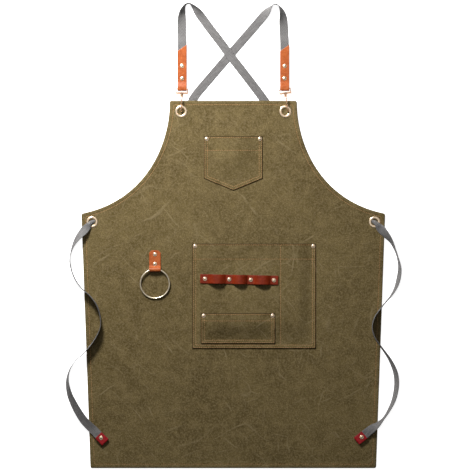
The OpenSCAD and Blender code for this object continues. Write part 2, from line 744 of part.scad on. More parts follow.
// A flat band swept along a route, eight corners to a ring, closed at both ends. Both faces
// are split along the same diagonals, so that they stay parallel where the band twists.
module webbing(route) {
    n = len(route);
    sides = 8;
    points = [for (i = [0:n - 1]) each ring(route, i)];
    walls = [
        for (i = [0:n - 2], k = [0:sides - 1])
            let (a = i * sides + k, b = i * sides + (k + 1) % sides)
            each k < sides / 2
                ? [[a, a + sides, b + sides], [a, b + sides, b]]
                : [[a, a + sides, b], [a + sides, b + sides, b]]
    ];
    caps = [
        [for (k = [0:sides - 1]) k],
        [for (k = [sides - 1:-1:0]) (n - 1) * sides + k]
    ];
    color("dimgray") placed() polyhedron(points = points, faces = concat(walls, caps));
}

module left_strap() webbing(left_route);
module right_strap() webbing(right_route);

canvas_panel();
canvas_hem();
chest_pocket();
tool_pocket();
small_pocket();
bib_grommets();
bib_grommet_washers();
waist_grommets();
waist_grommet_washers();
chest_pocket_rivets();
chest_pocket_rivet_backs();
tool_pocket_rivets();
tool_pocket_rivet_backs();
small_pocket_rivets();
small_pocket_rivet_backs();
tool_strap();
tool_strap_rivets();
tool_strap_rivet_backs();
towel_loop();
towel_loop_rivets();
towel_loop_rivet_backs();
towel_ring();
left_shoulder_tab();
right_shoulder_tab();
shoulder_tab_rivets();
shoulder_tab_rivet_backs();
left_strap_loop();
right_strap_loop();
left_hook();
right_hook();
left_gate();
right_gate();
left_gate_pin();
right_gate_pin();
left_gate_spring();
right_gate_spring();
left_strap();
right_strap();
left_tie_end();
right_tie_end();
tie_end_rivets();
tie_end_rivet_backs();
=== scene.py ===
import math

import bpy
import numpy as np
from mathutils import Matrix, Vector, noise
from mathutils.geometry import delaunay_2d_cdt


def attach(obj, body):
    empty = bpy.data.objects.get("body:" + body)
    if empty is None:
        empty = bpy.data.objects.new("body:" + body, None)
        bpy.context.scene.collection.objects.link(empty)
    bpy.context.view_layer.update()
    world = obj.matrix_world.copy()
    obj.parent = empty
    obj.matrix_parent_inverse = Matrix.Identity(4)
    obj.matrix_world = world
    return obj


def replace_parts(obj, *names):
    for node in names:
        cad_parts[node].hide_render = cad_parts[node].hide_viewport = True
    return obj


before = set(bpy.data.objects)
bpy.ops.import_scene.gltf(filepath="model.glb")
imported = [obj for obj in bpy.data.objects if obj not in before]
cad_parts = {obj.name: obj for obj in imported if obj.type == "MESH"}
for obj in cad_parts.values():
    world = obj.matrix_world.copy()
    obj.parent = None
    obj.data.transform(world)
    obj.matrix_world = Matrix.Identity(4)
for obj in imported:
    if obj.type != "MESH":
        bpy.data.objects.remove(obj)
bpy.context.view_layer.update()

# Sizes below are millimetres in the CAD source's own axes: Y is measured from the bottom hem.
MM = 0.001
CENTRE_Y = 489.0

# Canvas panel
WAIST_W, BOTTOM_W, BIB_W = 702.0, 660.0, 294.0
PANEL_H, SIDE_H = 849.0, 588.0
HEM_W, HEM_T, CANVAS_T = 10.0, 3.5, 1.1
CANVAS_TOP = HEM_T + CANVAS_T
HEM_STITCH = 9.2
STITCH_PITCH, STITCH_LENGTH, STITCH_R = 4.1, 3.0, 0.52
PUCKER_PERIOD = 8.5
HEM_NOTCHES = [(-126, -78), (55, 97), (114, 131)]
# Where the tool pocket, chest pocket and towel loop hold the panel flat: box, and reach round it.
SEWN_AREAS = [((-100, 196, 270, 520), 30), ((-72, 72, 636, 768), 30), ((-196, -166, 452, 506), 16)]

# Pockets: middle X, width, mouth Y, height of the sides and of the pointed tip, how far the front
# bulges, where the bulge starts, its ramps from the left, right and bottom, and the mouth's hem.
CHEST = dict(x=0.0, w=136.0, top=766.0, h=97.0, tip=28.0, depth=6.6, start=9.0,
             ramps=(50.0, 50.0, 68.0), mouth_hem=32.0)
TOOL = dict(x=48.0, w=286.0, top=518.0, h=242.0, tip=0.0, depth=6.2, start=9.0,
            ramps=(10.0, 34.0, 58.0), mouth_hem=35.0)
SMALL = dict(x=11.0, w=172.0, top=357.5, h=70.0, tip=0.0, depth=4.2, start=8.0,
             ramps=(34.0, 34.0, 46.0), mouth_hem=17.0)
DIVIDER_X = 109.0
TOOL_FRONT = CANVAS_TOP + TOOL["depth"] + CANVAS_T
SEAM_LINES = (2.6, 8.2)

# Rivets and grommets
RIVET_R, RIVET_H, POST_R = 4.65, 1.5, 1.6
BACK_R, BACK_H = 4.2, 0.9
RIVET_IN, RIVET_DOWN = 6.5, 5.0
GROMMET_FLANGE_H = 1.1
BIB_GROMMETS = dict(x=120.5, y=PANEL_H - 25, hole=8.4, flange=14.0)
WAIST_GROMMETS = dict(x=326.5, y=568.7, hole=7.6, flange=13.25)
BARREL_T, WASHER_T = 0.8, 0.6

# Tool strap
STRAP_Y, STRAP_W, STRAP_T, LOOP_H = 436.0, 21.7, 2.0, 8.0
STRAP_TILT = math.radians(-1.2)
STRAP_RIVETS = (-65.4, -9.5, 40.2, 93.8)
STRAP_ENDS = (-76.0, 103.3)
STRAP_PAD = 8.0

# Towel loop and ring
TOWEL_X, TOWEL_W, TOWEL_T, TOWEL_TOP = -181.0, 26.8, 1.4, 503.0
TOWEL_AXIS_Y, TOWEL_INNER_R = 458.3, 3.5
TOWEL_KNEE = (3.05, 3.55)
TOWEL_AXIS_Z = CANVAS_TOP + TOWEL_INNER_R + TOWEL_T
TOWEL_RIVETS_Y = (472.0, 494.0)
RING_R, RING_WIRE = 33.5, 1.8
RING_DROP = RING_R - 1.4
RING_TILT = math.asin((TOWEL_AXIS_Z - CANVAS_TOP - RING_WIRE - 0.1) / (RING_DROP + RING_R))

# Shoulder tabs
TAB_X, TAB_W, TAB_T = 118.5, 21.6, 1.7
TAB_TOP, TAB_SLANT, SLANT_FROM = PANEL_H + 121.5, 7.5, 940.0
TAB_FOLD_Y, TAB_FOLD_R, HOOK_Z = 873.9, 1.2, 6.8
TAB_SLOPE = (880.9, 892.9)
TAB_REAR_Z, TAB_FRONT_Z = 1.0, 4.3
TAB_RIVETS_Y = (900.5, 929.0)

# Tie ends: X, Y and turn of each
TIE_L, TIE_W, TIE_T = 24.0, 21.0, 1.6
TIE_REAR_Z, TIE_FRONT_Z = 5.4, 8.5
TIE_BACK_H = 0.7
TIE_RIVET_IN = -3.5
LEFT_TIE = (-303.0, 68.0, -45.7)
RIGHT_TIE = (293.5, 70.0, 218.9)

# Webbing: X, Y, height of the lower edge, roll (0 flat, 90 on edge) and share of its width.
WEB_W, WEB_T = 20.0, 1.4
WEB_SHOWS_Y, WEB_EXIT = TAB_TOP - 22, (TAB_TOP - 6, 3.5)
LEFT_ROUTE = [
    [-118.5, 893, 2.8, 0, 1], [-118.5, 981, 2.8, 0, 1],
    [-119, 1004, 0.3, 0, 1], [-119, 1028, 0.2, 5, 1], [-118.5, 1046, 0.2, 30, 1],
    [-116, 1060, 0.2, 62, 1], [-110, 1071, 0.2, 85, 1], [-102, 1074, 0.2, 90, 1],
    [-94, 1068, 0.2, 75, 1], [-85, 1057, 0.2, 40, 1], [-74, 1043, 0.2, 8, 1],
    [-54, 1016, 0.3, 0, 1], [-31, 986, 0.9, 0, 1], [-20, 971, 1.7, 0, 1],
    [-8, 955, 1.9, 0, 1], [4, 939, 1.7, 0, 1], [15, 925, 0.9, 0, 1],
    [51, 878, 0.3, 0, 1], [68, 855, 0.3, 0, 1], [92, 820, 0.3, 0, 1],
    [114, 782, 0.3, 0, 1], [134, 740, 0.3, 0, 1], [156, 698, 0.3, 0, 1],
    [182, 660, 0.3, 0, 1], [214, 626, 0.3, 0, 1], [252, 600, 0.3, 0, 1],
    [286, 584, 0.3, 0, 1], [311, 575, 0.3, 0, 0.9], [320.5, 571.5, 0.9, 0, 0.55],
    [331, 564.5, 6.2, 0, 0.55], [337, 557, 5.9, 8, 0.85],
    [343, 550, 5.1, 22, 1], [352, 540, 4.7, 40, 1], [363, 526, 3, 65, 1],
    [371, 510, 0.5, 80, 1], [379, 488, 0.2, 85, 1], [384, 462, 0.2, 72, 1],
    [381, 436, 0.2, 66, 1], [374, 415, 0.5, 75, 1], [362, 396, 2.6, 85, 1],
    [350, 382, 4.8, 88, 1], [338, 367, 4.8, 90, 1], [327, 351, 4.8, 90, 1],
    [320.5, 329, 4.8, 90, 1], [325, 305, 4.8, 88, 1], [337, 286, 4.8, 85, 1],
    [350, 268, 4.5, 80, 1], [362, 250, 1, 72, 1], [374, 222, 0.2, 62, 1],
    [377, 194, 0.2, 60, 1], [371, 160, 0.2, 66, 1], [360, 136, 1, 75, 1],
    [347, 116, 3.4, 80, 1], [334, 102, 4.8, 60, 1], [322, 93, 4.9, 28, 1],
    [313, 85.7, 6, 6, 1], [304.5, 79, 7.05, 0, 1], [289, 66.5, 7.05, 0, 1],
]
RIGHT_ROUTE = [
    [118.5, 893, 2.8, 0, 1], [118, 981, 2.8, 0, 1],
    [117, 1004, 0.3, 0, 1], [116, 1026, 0.2, 5, 1], [114.5, 1045, 0.2, 35, 1],
    [110.5, 1060, 0.2, 65, 1], [103, 1070, 0.2, 87, 1], [94.5, 1072, 0.2, 90, 1],
    [86.5, 1065, 0.2, 72, 1], [78, 1055, 0.2, 35, 1], [68, 1043, 0.2, 6, 1],
    [52, 1024, 0.2, 0, 1], [-8, 955, 0.2, 0, 1], [-68, 885, 0.2, 0, 1],
    [-84, 866, 0.3, 0, 1], [-94, 850, 0.3, 0, 1], [-99, 830, 0.3, 0, 1],
    [-104, 804, 0.3, 0, 1], [-112, 770, 0.3, 0, 1], [-127, 730, 0.3, 0, 1],
    [-150, 690, 0.3, 0, 1], [-179, 654, 0.3, 0, 1], [-214, 623, 0.3, 0, 1],
    [-252, 600, 0.3, 0, 1], [-286, 584, 0.3, 0, 1], [-311, 575, 0.3, 0, 0.9],
    [-320.5, 571.5, 0.9, 0, 0.55], [-331, 564.5, 6.2, 0, 0.55], [-337, 557.5, 5.9, 8, 0.85],
    [-345, 548.5, 5.1, 24, 1],
    [-356, 536, 4.7, 45, 1], [-366, 521, 2.4, 65, 1], [-373, 505, 0.5, 80, 1],
    [-377.5, 481, 0.2, 88, 1], [-373, 456, 0.2, 90, 1], [-362, 432, 1.8, 90, 1],
    [-348, 414, 4.8, 90, 1], [-330, 398, 4.8, 90, 1], [-314, 375, 4.8, 90, 1],
    [-306.5, 348, 4.8, 90, 1], [-307, 326, 4.8, 88, 1], [-318, 301, 4.8, 86, 1],
    [-333, 280, 4.8, 86, 1], [-348, 263, 4.4, 88, 1], [-362, 251, 2.2, 90, 1],
    [-377, 229, 0.4, 85, 1], [-383, 202, 0.2, 70, 1], [-378, 172, 0.2, 50, 1],
    [-370, 153, 1.6, 38, 1], [-360, 134, 3.6, 28, 1], [-345, 111, 5, 18, 1],
    [-331, 96, 5.2, 8, 1], [-322, 87.5, 6, 0, 1], [-313, 78.3, 7.05, 0, 1],
    [-299, 64, 7.05, 0, 1],
]

# How far a band's rounded cut end reaches past its last ring.
END_ROUND = 0.5

# Camera: straight above, on a long lens.
CAMERA_AT = (0.0039, 0.0497, 6.0)
CAMERA_LENS = 198.8


# ---- Small helpers ----

def smooth(t):
    """0 to 1 with soft ends, for numbers and arrays."""
    t = np.clip(t, 0.0, 1.0)
    return t * t * (3 - 2 * t)


def unit(v):
    v = np.asarray(v, float)
    return v / np.linalg.norm(v)


def wobble(x, y, size, seed=0.0):
    """Smooth noise from -1 to 1 with features about size across."""
    return noise.noise(Vector((x / size, y / size, seed)))


def distances(line):
    """How far along a line of points each point is."""
    return np.concatenate([[0], np.cumsum(np.linalg.norm(np.diff(line, axis=0), axis=1))])


def resample(line, at):
    """Points at the distances given along a line of (x, y) points."""
    run = distances(line)
    return np.stack([np.interp(at, run, line[:, k]) for k in (0, 1)], axis=-1)


def tube(rows, steps, closed=False, flip=False):
    """Faces that join rows of points, each row a loop of steps points; capped unless closed."""
    faces = []
    for i in range(rows if closed else rows - 1):
        j = (i + 1) % rows
        for k in range(steps):
            n = (k + 1) % steps
            faces.append((i * steps + k, i * steps + n, j * steps + n, j * steps + k))
    if not closed:
        faces.append(tuple(reversed(range(steps))))
        faces.append(tuple(range((rows - 1) * steps, rows * steps)))
    return [(f[0], *f[:0:-1]) for f in faces] if flip else faces


def make_mesh(name, points, faces, material, body="apron", uvs=None, edge=None):
    """A smooth-shaded piece from points in CAD millimetres. uvs and edge are per point."""
    co = np.array(points, float)
    co[:, 1] -= CENTRE_Y
    mesh = bpy.data.meshes.new(name)
    mesh.from_pydata((co * MM).tolist(), [], [tuple(int(i) for i in f) for f in faces])
    mesh.validate()
    mesh.update()
    mesh.shade_smooth()
    mesh.materials.append(material)
    if uvs is not None:
        layer = mesh.uv_layers.new(name="weave")
        corners = np.zeros(len(mesh.loops), np.int32)
        mesh.loops.foreach_get("vertex_index", corners)
        layer.data.foreach_set("uv", (np.array(uvs, np.float32) * MM)[corners].ravel())
    if edge is not None:
        mesh.attributes.new("edge", "FLOAT", "POINT").data.foreach_set(
            "value", np.array(edge, np.float32))
    piece = bpy.data.objects.new(name, mesh)
    bpy.context.scene.collection.objects.link(piece)
    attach(piece, body)
    return piece


def sharpen(piece, degrees):
    piece.data.set_sharp_from_angle(angle=math.radians(degrees))


# ---- Materials ----

class Finish:
    """A node material: add() makes a node and links the sockets or sets the values given."""

    def __init__(self, name, colour, roughness, metallic=0.0):
        self.material = bpy.data.materials.new(name)
        self.material.use_nodes = True
        self.tree = self.material.node_tree
        self.shader = self.tree.nodes["Principled BSDF"]
        self.set(self.shader, {"Base Color": (*colour, 1), "Roughness": roughness,
                               "Metallic": metallic})
        self.coords = self.tree.nodes.new("ShaderNodeTexCoord")

    def set(self, node, values):
        for key, value in values.items():
            socket = node.inputs[key]
            if isinstance(value, bpy.types.NodeSocket):
                self.tree.links.new(value, socket)
            else:
                socket.default_value = value

    def add(self, kind, values=None, **settings):
        node = self.tree.nodes.new(kind)
        for key, value in settings.items():
            setattr(node, key, value)
        self.set(node, values or {})
        return node

    def noise(self, scale, detail=3.0, rough=0.55, distortion=0.0, at=None):
        return self.add("ShaderNodeTexNoise", {
            "Vector": at or self.coords.outputs["Object"], "Scale": scale, "Detail": detail,
            "Roughness": rough, "Distortion": distortion}).outputs["Fac"]

    def ramp(self, value, low, high, out_low=0.0, out_high=1.0):
        return self.add("ShaderNodeMapRange", {
            "Value": value, "From Min": low, "From Max": high,
            "To Min": out_low, "To Max": out_high}, interpolation_type="SMOOTHSTEP").outputs[0]

    def math(self, operation, a, b):
        return self.add("ShaderNodeMath", {0: a, 1: b}, operation=operation).outputs[0]

    def mix(self, factor, a, b):
        a, b = ((*c, 1) if isinstance(c, tuple) else c for c in (a, b))
        node = self.add("ShaderNodeMix", {0: factor, 6: a, 7: b}, data_type="RGBA")
        return node.outputs[2]

    def bands(self, at, period, axis):
        """Even threads across an axis: a sine from 0 to 1 with the given period in metres."""
        return self.add("ShaderNodeTexWave", {
            "Vector": at, "Scale": 2 * math.pi / (20 * period)},
            wave_type="BANDS", bands_direction=axis, wave_profile="SIN").outputs["Fac"]

    def bump(self, height, distance, strength, onto=None):
        values = {"Height": height, "Distance": distance, "Strength": strength}
        if onto is not None:
            values["Normal"] = onto
        return self.add("ShaderNodeBump", values).outputs["Normal"]


def canvas_finish():
    """Waxed cotton duck: plain weave, slubs, cloudy wax, pale lines where the wax has creased, and
    painted shade along the pockets' edges and mouths.
    """
    f = Finish("waxed_canvas", (0.15, 0.112, 0.052), 0.75)
    place = f.coords.outputs["Object"]
    bend = f.add("ShaderNodeTexNoise", {"Vector": place, "Scale": 7.0, "Detail": 3.0})
    bent = f.add("ShaderNodeVectorMath", {0: bend.outputs["Color"], "Scale": 0.06},
                 operation="SCALE").outputs[0]
    bent = f.add("ShaderNodeVectorMath", {0: place, 1: bent}, operation="ADD").outputs[0]
    crease = None
    for turn, scale, seen in ((0.5, 5.0, 0.44), (-0.75, 6.0, 0.47), (1.35, 7.0, 0.5), (2.3, 9.0, 0.47)):
        drawn = f.add("ShaderNodeMapping", {"Vector": bent, "Rotation": (0.0, 0.0, turn),
                                            "Scale": (1 / scale, 1 / (scale * 17), 1.0)},
                      vector_type="TEXTURE").outputs[0]
        line = f.ramp(f.noise(1.0, 2.0, 0.6, 0.0, drawn), 0.60, 0.73)
        mask = f.ramp(f.noise(scale * 1.7, 2.0), seen, seen + 0.16)
        line = f.math("MULTIPLY", line, mask)
        crease = line if crease is None else f.math("MAXIMUM", crease, line)
    cell = f.add("ShaderNodeTexVoronoi", {"Vector": bent, "Scale": 17.0},
                 feature="DISTANCE_TO_EDGE").outputs["Distance"]
    crack = f.math("MULTIPLY", f.ramp(cell, 0.0, 0.035, 1.0, 0.0),
                   f.ramp(f.noise(12.0, 2.0), 0.5, 0.66))
    crease = f.math("MAXIMUM", crease, f.math("MULTIPLY", crack, 0.6))
    cloud = f.noise(7.0, 5.0, 0.62)
    patch = f.noise(42.0, 4.0, 0.65)
    slub = f.noise(210.0, 3.0, 0.8)
    grain = f.noise(560.0, 2.0, 0.75)
    colour = f.mix(f.ramp(cloud, 0.3, 0.7), (0.070, 0.050, 0.016), (0.146, 0.110, 0.042))
    colour = f.mix(f.ramp(patch, 0.42, 0.68, 0.0, 0.8), colour, (0.200, 0.150, 0.064))
    colour = f.mix(f.ramp(slub, 0.42, 0.58, 0.0, 0.65), colour, (0.225, 0.172, 0.086))
    colour = f.mix(f.ramp(grain, 0.42, 0.58, 0.0, 0.6), colour, (0.072, 0.049, 0.018))
    colour = f.mix(f.math("MULTIPLY", crease, 0.5), colour, (0.27, 0.212, 0.118))
    warp = f.bands(place, 0.0011, "X")
    weft = f.bands(place, 0.0012, "Y")
    weave = f.math("MULTIPLY", warp, weft)
    colour = f.mix(f.ramp(weave, 0.0, 0.5, 0.3, 0.0), colour, (0.06, 0.042, 0.017))
    # Painted shade: where a pocket's edge value is high the canvas darkens to a near-black brown. This
    # is a painted shadow line along the pocket's sewn sides, bottom and mouth lip.
    dark_edge_and_shade = f.add("ShaderNodeAttribute", attribute_name="edge", attribute_type="GEOMETRY")
    colour = f.mix(f.math("MULTIPLY", dark_edge_and_shade.outputs["Fac"], 0.85), colour, (0.028, 0.019, 0.008))
    normal = f.bump(weave, 0.00025, 0.5)
    normal = f.bump(slub, 0.00035, 0.5, normal)
    normal = f.bump(crease, 0.0009, 0.3, normal)
    normal = f.bump(patch, 0.0030, 0.35, normal)
    f.set(f.shader, {"Base Color": colour, "Normal": normal,
                     "Specular IOR Level": 0.06,
                     "Roughness": f.ramp(cloud, 0.25, 0.75, 0.66, 0.85)})
    return f.material


def webbing_finish():
    """Grey twill webbing: fine diagonal ribs either side of the middle, and darker edges."""
    f = Finish("grey_webbing", (0.27, 0.262, 0.262), 0.85)
    uv = f.coords.outputs["UV"]
    split = f.add("ShaderNodeSeparateXYZ", {"Vector": uv})
    across = f.math("ABSOLUTE", split.outputs["X"], 0.0)
    slanted = f.math("ADD", split.outputs["Y"], f.math("MULTIPLY", across, 0.8))
    turned = f.add("ShaderNodeCombineXYZ", {"X": slanted, "Y": split.outputs["X"]}).outputs[0]
    ribs = f.bands(turned, 0.0034, "X")
    ends = f.bands(turned, 0.0013, "Y")
    fuzz = f.noise(900.0, 2.0, 0.7)
    dirt = f.noise(35.0, 3.0)
    colour = f.mix(f.ramp(ribs, 0.2, 0.75), (0.050, 0.047, 0.045), (0.235, 0.228, 0.225))
    colour = f.mix(f.ramp(fuzz, 0.4, 0.6, 0.0, 0.45), colour, (0.07, 0.067, 0.065))
    colour = f.mix(f.ramp(dirt, 0.4, 0.75, 0.0, 0.3), colour, (0.19, 0.184, 0.18))
    colour = f.mix(f.ramp(across, 0.0087, 0.0098, 0.0, 0.45), colour, (0.09, 0.087, 0.086))
    normal = f.bump(f.math("MULTIPLY", ribs, f.ramp(ends, 0.0, 0.6, 0.5, 1.0)), 0.0003, 0.6)
    f.set(f.shader, {"Base Color": colour, "Normal": normal, "Specular IOR Level": 0.15})
    return f.material


def thread_finish():
    """Orange-brown sewing thread with the twist of its plies."""
    f = Finish("orange_thread", (0.36, 0.19, 0.075), 0.6)
    twist = f.noise(1500.0, 2.0)
    colour = f.mix(f.ramp(twist, 0.35, 0.65), (0.30, 0.145, 0.050), (0.47, 0.25, 0.095))
    f.set(f.shader, {"Base Color": colour, "Normal": f.bump(twist, 0.0001, 0.4)})
    return f.material


def leather_finish(name, dark, mid, light, edge, roughness):
    """Smooth pull-up leather: cloudy dye, fine pores, and burnished cut edges."""
    f = Finish(name, mid, roughness)
    cloud = f.noise(55.0, 4.0, 0.6)
    streak = f.noise(260.0, 4.0, 0.65, 0.4)
    pores = f.add("ShaderNodeTexVoronoi", {"Vector": f.coords.outputs["Object"],
                                          "Scale": 1300.0}).outputs["Distance"]
    wrinkle = f.noise(420.0, 3.0, 0.6, 1.2)
    colour = f.mix(f.ramp(cloud, 0.32, 0.7), dark, mid)
    colour = f.mix(f.ramp(streak, 0.42, 0.75, 0.0, 0.6), colour, light)
    dark_edge_and_shade = f.add("ShaderNodeAttribute", attribute_name="edge", attribute_type="GEOMETRY")
    colour = f.mix(f.ramp(dark_edge_and_shade.outputs["Fac"], 0.45, 1.0), colour, edge)
    normal = f.bump(pores, 0.00012, 0.35)
    normal = f.bump(wrinkle, 0.00025, 0.4, normal)
    f.set(f.shader, {"Base Color": colour, "Normal": normal, "Coat Weight": 0.05,
                     "Specular IOR Level": 0.22,
                     "Coat Roughness": 0.3,
                     "Roughness": f.ramp(streak, 0.3, 0.7, roughness - 0.08, roughness + 0.1)})
    return f.material


def metal_finish(name, colour, worn, roughness):
    """Plated metal: soft patches in the polish, hairline scratches and slightly worn plating."""
    f = Finish(name, colour, roughness, 1.0)
    patch = f.noise(180.0, 4.0, 0.6)
    stretched = f.add("ShaderNodeMapping", {"Vector": f.coords.outputs["Object"],
                                            "Scale": (1.0, 9.0, 3.0),
                                            "Rotation": (0.3, 0.2, 0.7)}).outputs[0]
    hairs = f.noise(700.0, 2.0, 0.7, 0.0, stretched)
    tint = f.mix(f.ramp(patch, 0.45, 0.75, 0.0, 0.6), colour, worn)
    f.set(f.shader, {"Base Color": tint, "Normal": f.bump(hairs, 0.00004, 0.25),
                     "Roughness": f.ramp(patch, 0.3, 0.7, roughness - 0.06, roughness + 0.12)})
    return f.material


def floor_finish():
    f = Finish("studio_paper", (0.9, 0.9, 0.9), 0.9)
    grain = f.noise(40.0, 3.0)
    f.set(f.shader, {"Base Color": f.mix(grain, (0.89, 0.89, 0.89), (0.92, 0.92, 0.92)),
                     "Emission Color": (1, 1, 1, 1), "Emission Strength": 0.86})
    return f.material


CANVAS = canvas_finish()
WEBBING = webbing_finish()
THREAD = thread_finish()
TAN = leather_finish("tan_leather", (0.27, 0.056, 0.011), (0.345, 0.080, 0.017),
                     (0.47, 0.145, 0.045), (0.11, 0.025, 0.007), 0.38)
STRAP_LEATHER = leather_finish("strap_leather", (0.125, 0.010, 0.001), (0.18, 0.016, 0.002),
                               (0.235, 0.030, 0.006), (0.05, 0.008, 0.004), 0.45)
RED = leather_finish("red_leather", (0.20, 0.004, 0.006), (0.31, 0.007, 0.010),
                     (0.42, 0.02, 0.028), (0.08, 0.004, 0.005), 0.42)
ROSE_GOLD = metal_finish("rose_gold", (1.0, 0.79, 0.56), (0.90, 0.62, 0.38), 0.30)
PALE_NICKEL = metal_finish("pale_nickel", (0.97, 0.87, 0.68), (0.74, 0.63, 0.47), 0.38)
COPPER = metal_finish("copper_gold", (0.82, 0.52, 0.34), (0.60, 0.33, 0.19), 0.28)
SPRING_STEEL = metal_finish("spring_steel", (0.62, 0.62, 0.62), (0.5, 0.5, 0.5), 0.35)


# ---- Camera, light and floor ----

def make_stage():
    scene = bpy.context.scene
    camera = bpy.data.cameras.new("camera")
    camera.lens = CAMERA_LENS
    camera.clip_end = 50
    holder = bpy.data.objects.new("camera", camera)
    holder.location = CAMERA_AT
    scene.collection.objects.link(holder)
    scene.camera = holder
    scene.view_settings.view_transform = "Standard"
    world = bpy.data.worlds.new("studio")
    world.use_nodes = True
    world.node_tree.nodes["Background"].inputs["Color"].default_value = (1, 0.99, 0.97, 1)
    world.node_tree.nodes["Background"].inputs["Strength"].default_value = 0.04
    scene.world = world
    for name, at, size, power in (("key", (-0.60, 1.22, 0.92), 0.34, 52.0),
                                  ("overhead", (0.0, 0.35, 2.8), 2.6, 15.0)):
        light = bpy.data.lights.new(name, "AREA")
        light.size = size
        light.energy = power
        lamp = bpy.data.objects.new(name, light)
        lamp.location = at
        lamp.visible_camera = False
        aim = Vector((0.0, 0.05, 0.0)) - Vector(at)
        lamp.rotation_euler = aim.to_track_quat("-Z", "Y").to_euler()
        scene.collection.objects.link(lamp)
    mesh = bpy.data.meshes.new("floor")
    half = 6.0
    mesh.from_pydata([(-half, -half, 0), (half, -half, 0), (half, half, 0), (-half, half, 0)],
                     [], [(0, 1, 2, 3)])
    mesh.materials.append(floor_finish())
    floor = bpy.data.objects.new("floor", mesh)
    scene.collection.objects.link(floor)


make_stage()


# ---- Bands: webbing and leather ----

def section(half_w, half_t, corner, count, crown=0.0):
    """Points (across, through) round a flat band's section, and how near a cut edge each is."""
    e = min(corner, half_t * 0.95, half_w * 0.4)
    flat = np.linspace(-1, 1, count)
    arc = [math.radians(a) for a in (-54, -18, 18, 54)]
    points, edges = [], []
    for sign in (1, -1):
        for u in flat:
            points.append((sign * u * (half_w - e), -sign * half_t * (1 - crown * u * u)))
            edges.append(0.35 if abs(u) > 0.99 else 0.0)
        for a in arc:
            points.append((sign * (half_w - e + e * math.cos(a)),
                           sign * math.sin(a) * half_t * (1 - crown)))
            edges.append(1.0)
    return np.array(points), edges


def band(name, centres, across, half_ws, half_t, material,
         corner=0.5, count=9, crown=0.0, cups=None, shape=None):
    """Sweeps a flat band along centres. across and half_ws are for all rings or per ring; cups bows
    a ring's middle through the band. shape(points) may move the finished points."""
    centres = np.array(centres, float)
    across = np.array([unit(a) for a in np.broadcast_to(across, centres.shape)])
    half_ws = np.broadcast_to(half_ws, len(centres))
    along = np.gradient(centres, axis=0)
    along /= np.linalg.norm(along, axis=1)[:, None]
    through = np.cross(along, across)
    through /= np.linalg.norm(through, axis=1)[:, None]
    lengths = distances(centres)
    rings = [(0, -END_ROUND)] + [(i, 0.0) for i in range(len(centres))]
    rings.append((len(centres) - 1, END_ROUND))
    points, uvs, edge = [], [], []
    for i, shift in rings:
        sec, edges = section(half_ws[i] - abs(shift) / 2, half_t * (0.45 if shift else 1.0),
                             corner, count, crown)
        cup = cups[i] if cups is not None else 0.0
        for (u, v), e in zip(sec, edges):
            bow = cup * (1 - (u / half_ws[i]) ** 2)
            points.append(centres[i] + shift * along[i] + u * across[i] + (v + bow) * through[i])
            uvs.append((u, lengths[i] + shift))
            edge.append(1.0 if shift else e)
    faces = tube(len(rings), len(sec), flip=True)
    points = np.array(points)
    if shape is not None:
        points = shape(points)
    return make_mesh(name, points, faces, material, uvs=uvs, edge=edge)


def spline(rows, step):
    """Rows about step apart along a centripetal Catmull-Rom curve through the given rows."""
    rows = [np.array(r, float) for r in rows]
    rows = [2 * rows[0] - rows[1]] + rows + [2 * rows[-1] - rows[-2]]
    out = []
    for i in range(1, len(rows) - 2):
        p = rows[i - 1:i + 3]
        t = [0.0]
        for a, b in zip(p, p[1:]):
            t.append(t[-1] + max(np.linalg.norm((b - a)[:2]), 0.1) ** 0.5)
        count = max(1, round(np.linalg.norm((p[2] - p[1])[:2]) / step))
        for k in range(count):
            s = t[1] + (t[2] - t[1]) * k / count
            a = [(t[j + 1] - s) / (t[j + 1] - t[j]) * p[j]
                 + (s - t[j]) / (t[j + 1] - t[j]) * p[j + 1] for j in range(3)]
            b = [(t[j + 2] - s) / (t[j + 2] - t[j]) * a[j]
                 + (s - t[j]) / (t[j + 2] - t[j]) * a[j + 1] for j in range(2)]
            out.append((t[2] - s) / (t[2] - t[1]) * b[0] + (s - t[1]) / (t[2] - t[1]) * b[1])
    out.append(rows[-2])
    return np.array(out)


def ribbon(route):
    """Centres, width directions and half widths of the webbing along a route."""
    rows = spline(route, 3.5)
    heading = np.gradient(rows[:, :2], axis=0)
    heading /= np.linalg.norm(heading, axis=1)[:, None]
    roll = np.radians(np.clip(rows[:, 3], 0, 90))
    half = rows[:, 4] * WEB_W / 2
    across = np.stack([-heading[:, 1] * np.cos(roll), heading[:, 0] * np.cos(roll),
                       np.sin(roll)], axis=1)
    height = np.maximum(rows[:, 2], 0.15) + np.sin(roll) * half + np.cos(roll) * WEB_T / 2
    centres = np.column_stack([rows[:, :2], height])
    return centres, across, half


def frame_points(points):
    """CAD millimetres to metres in the row frame."""
    p = np.array(points, float)
    p[:, 1] -= CENTRE_Y
    return p * MM


def make_strap(side, route):
    """One free strap: its end between the tab's layers, then the length that lies loose."""
    centres, across, half = ribbon(route)
    cups = 3.0 * smooth((WEB_W / 2 - half) / (0.4 * WEB_W / 2))
    inside = int(np.argmax(centres[:, 1] > WEB_SHOWS_Y))
    band(f"{side}_strap_end", centres[:inside + 1], across[:inside + 1], half[:inside + 1],
         WEB_T / 2, WEBBING)
    strap = band(f"{side}_strap_webbing", centres[inside:], across[inside:], half[inside:],
                 WEB_T / 2, WEBBING, corner=0.6, count=11, cups=cups[inside:])
    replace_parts(strap, f"{side}_strap")
    return strap, frame_points(centres[inside:])


# ---- Shapes turned on a lathe ----

def lathe(profile, at, steps, closed=False):
    """Points and faces of a profile of (radius, height) turned about an upright axis at (x, y)."""
    angles = np.linspace(0, 2 * math.pi, steps, endpoint=False)
    points = [(at[0] + r * math.cos(a), at[1] + r * math.sin(a), z)
              for r, z in profile for a in angles]
    return points, tube(len(profile), steps, closed)


def collect(parts):
    """Joins several (points, faces) pairs into one."""
    points, faces = [], []
    for p, f in parts:
        start = len(points)
        points.extend(p)
        faces.extend(tuple(i + start for i in face) for face in f)
    return points, faces


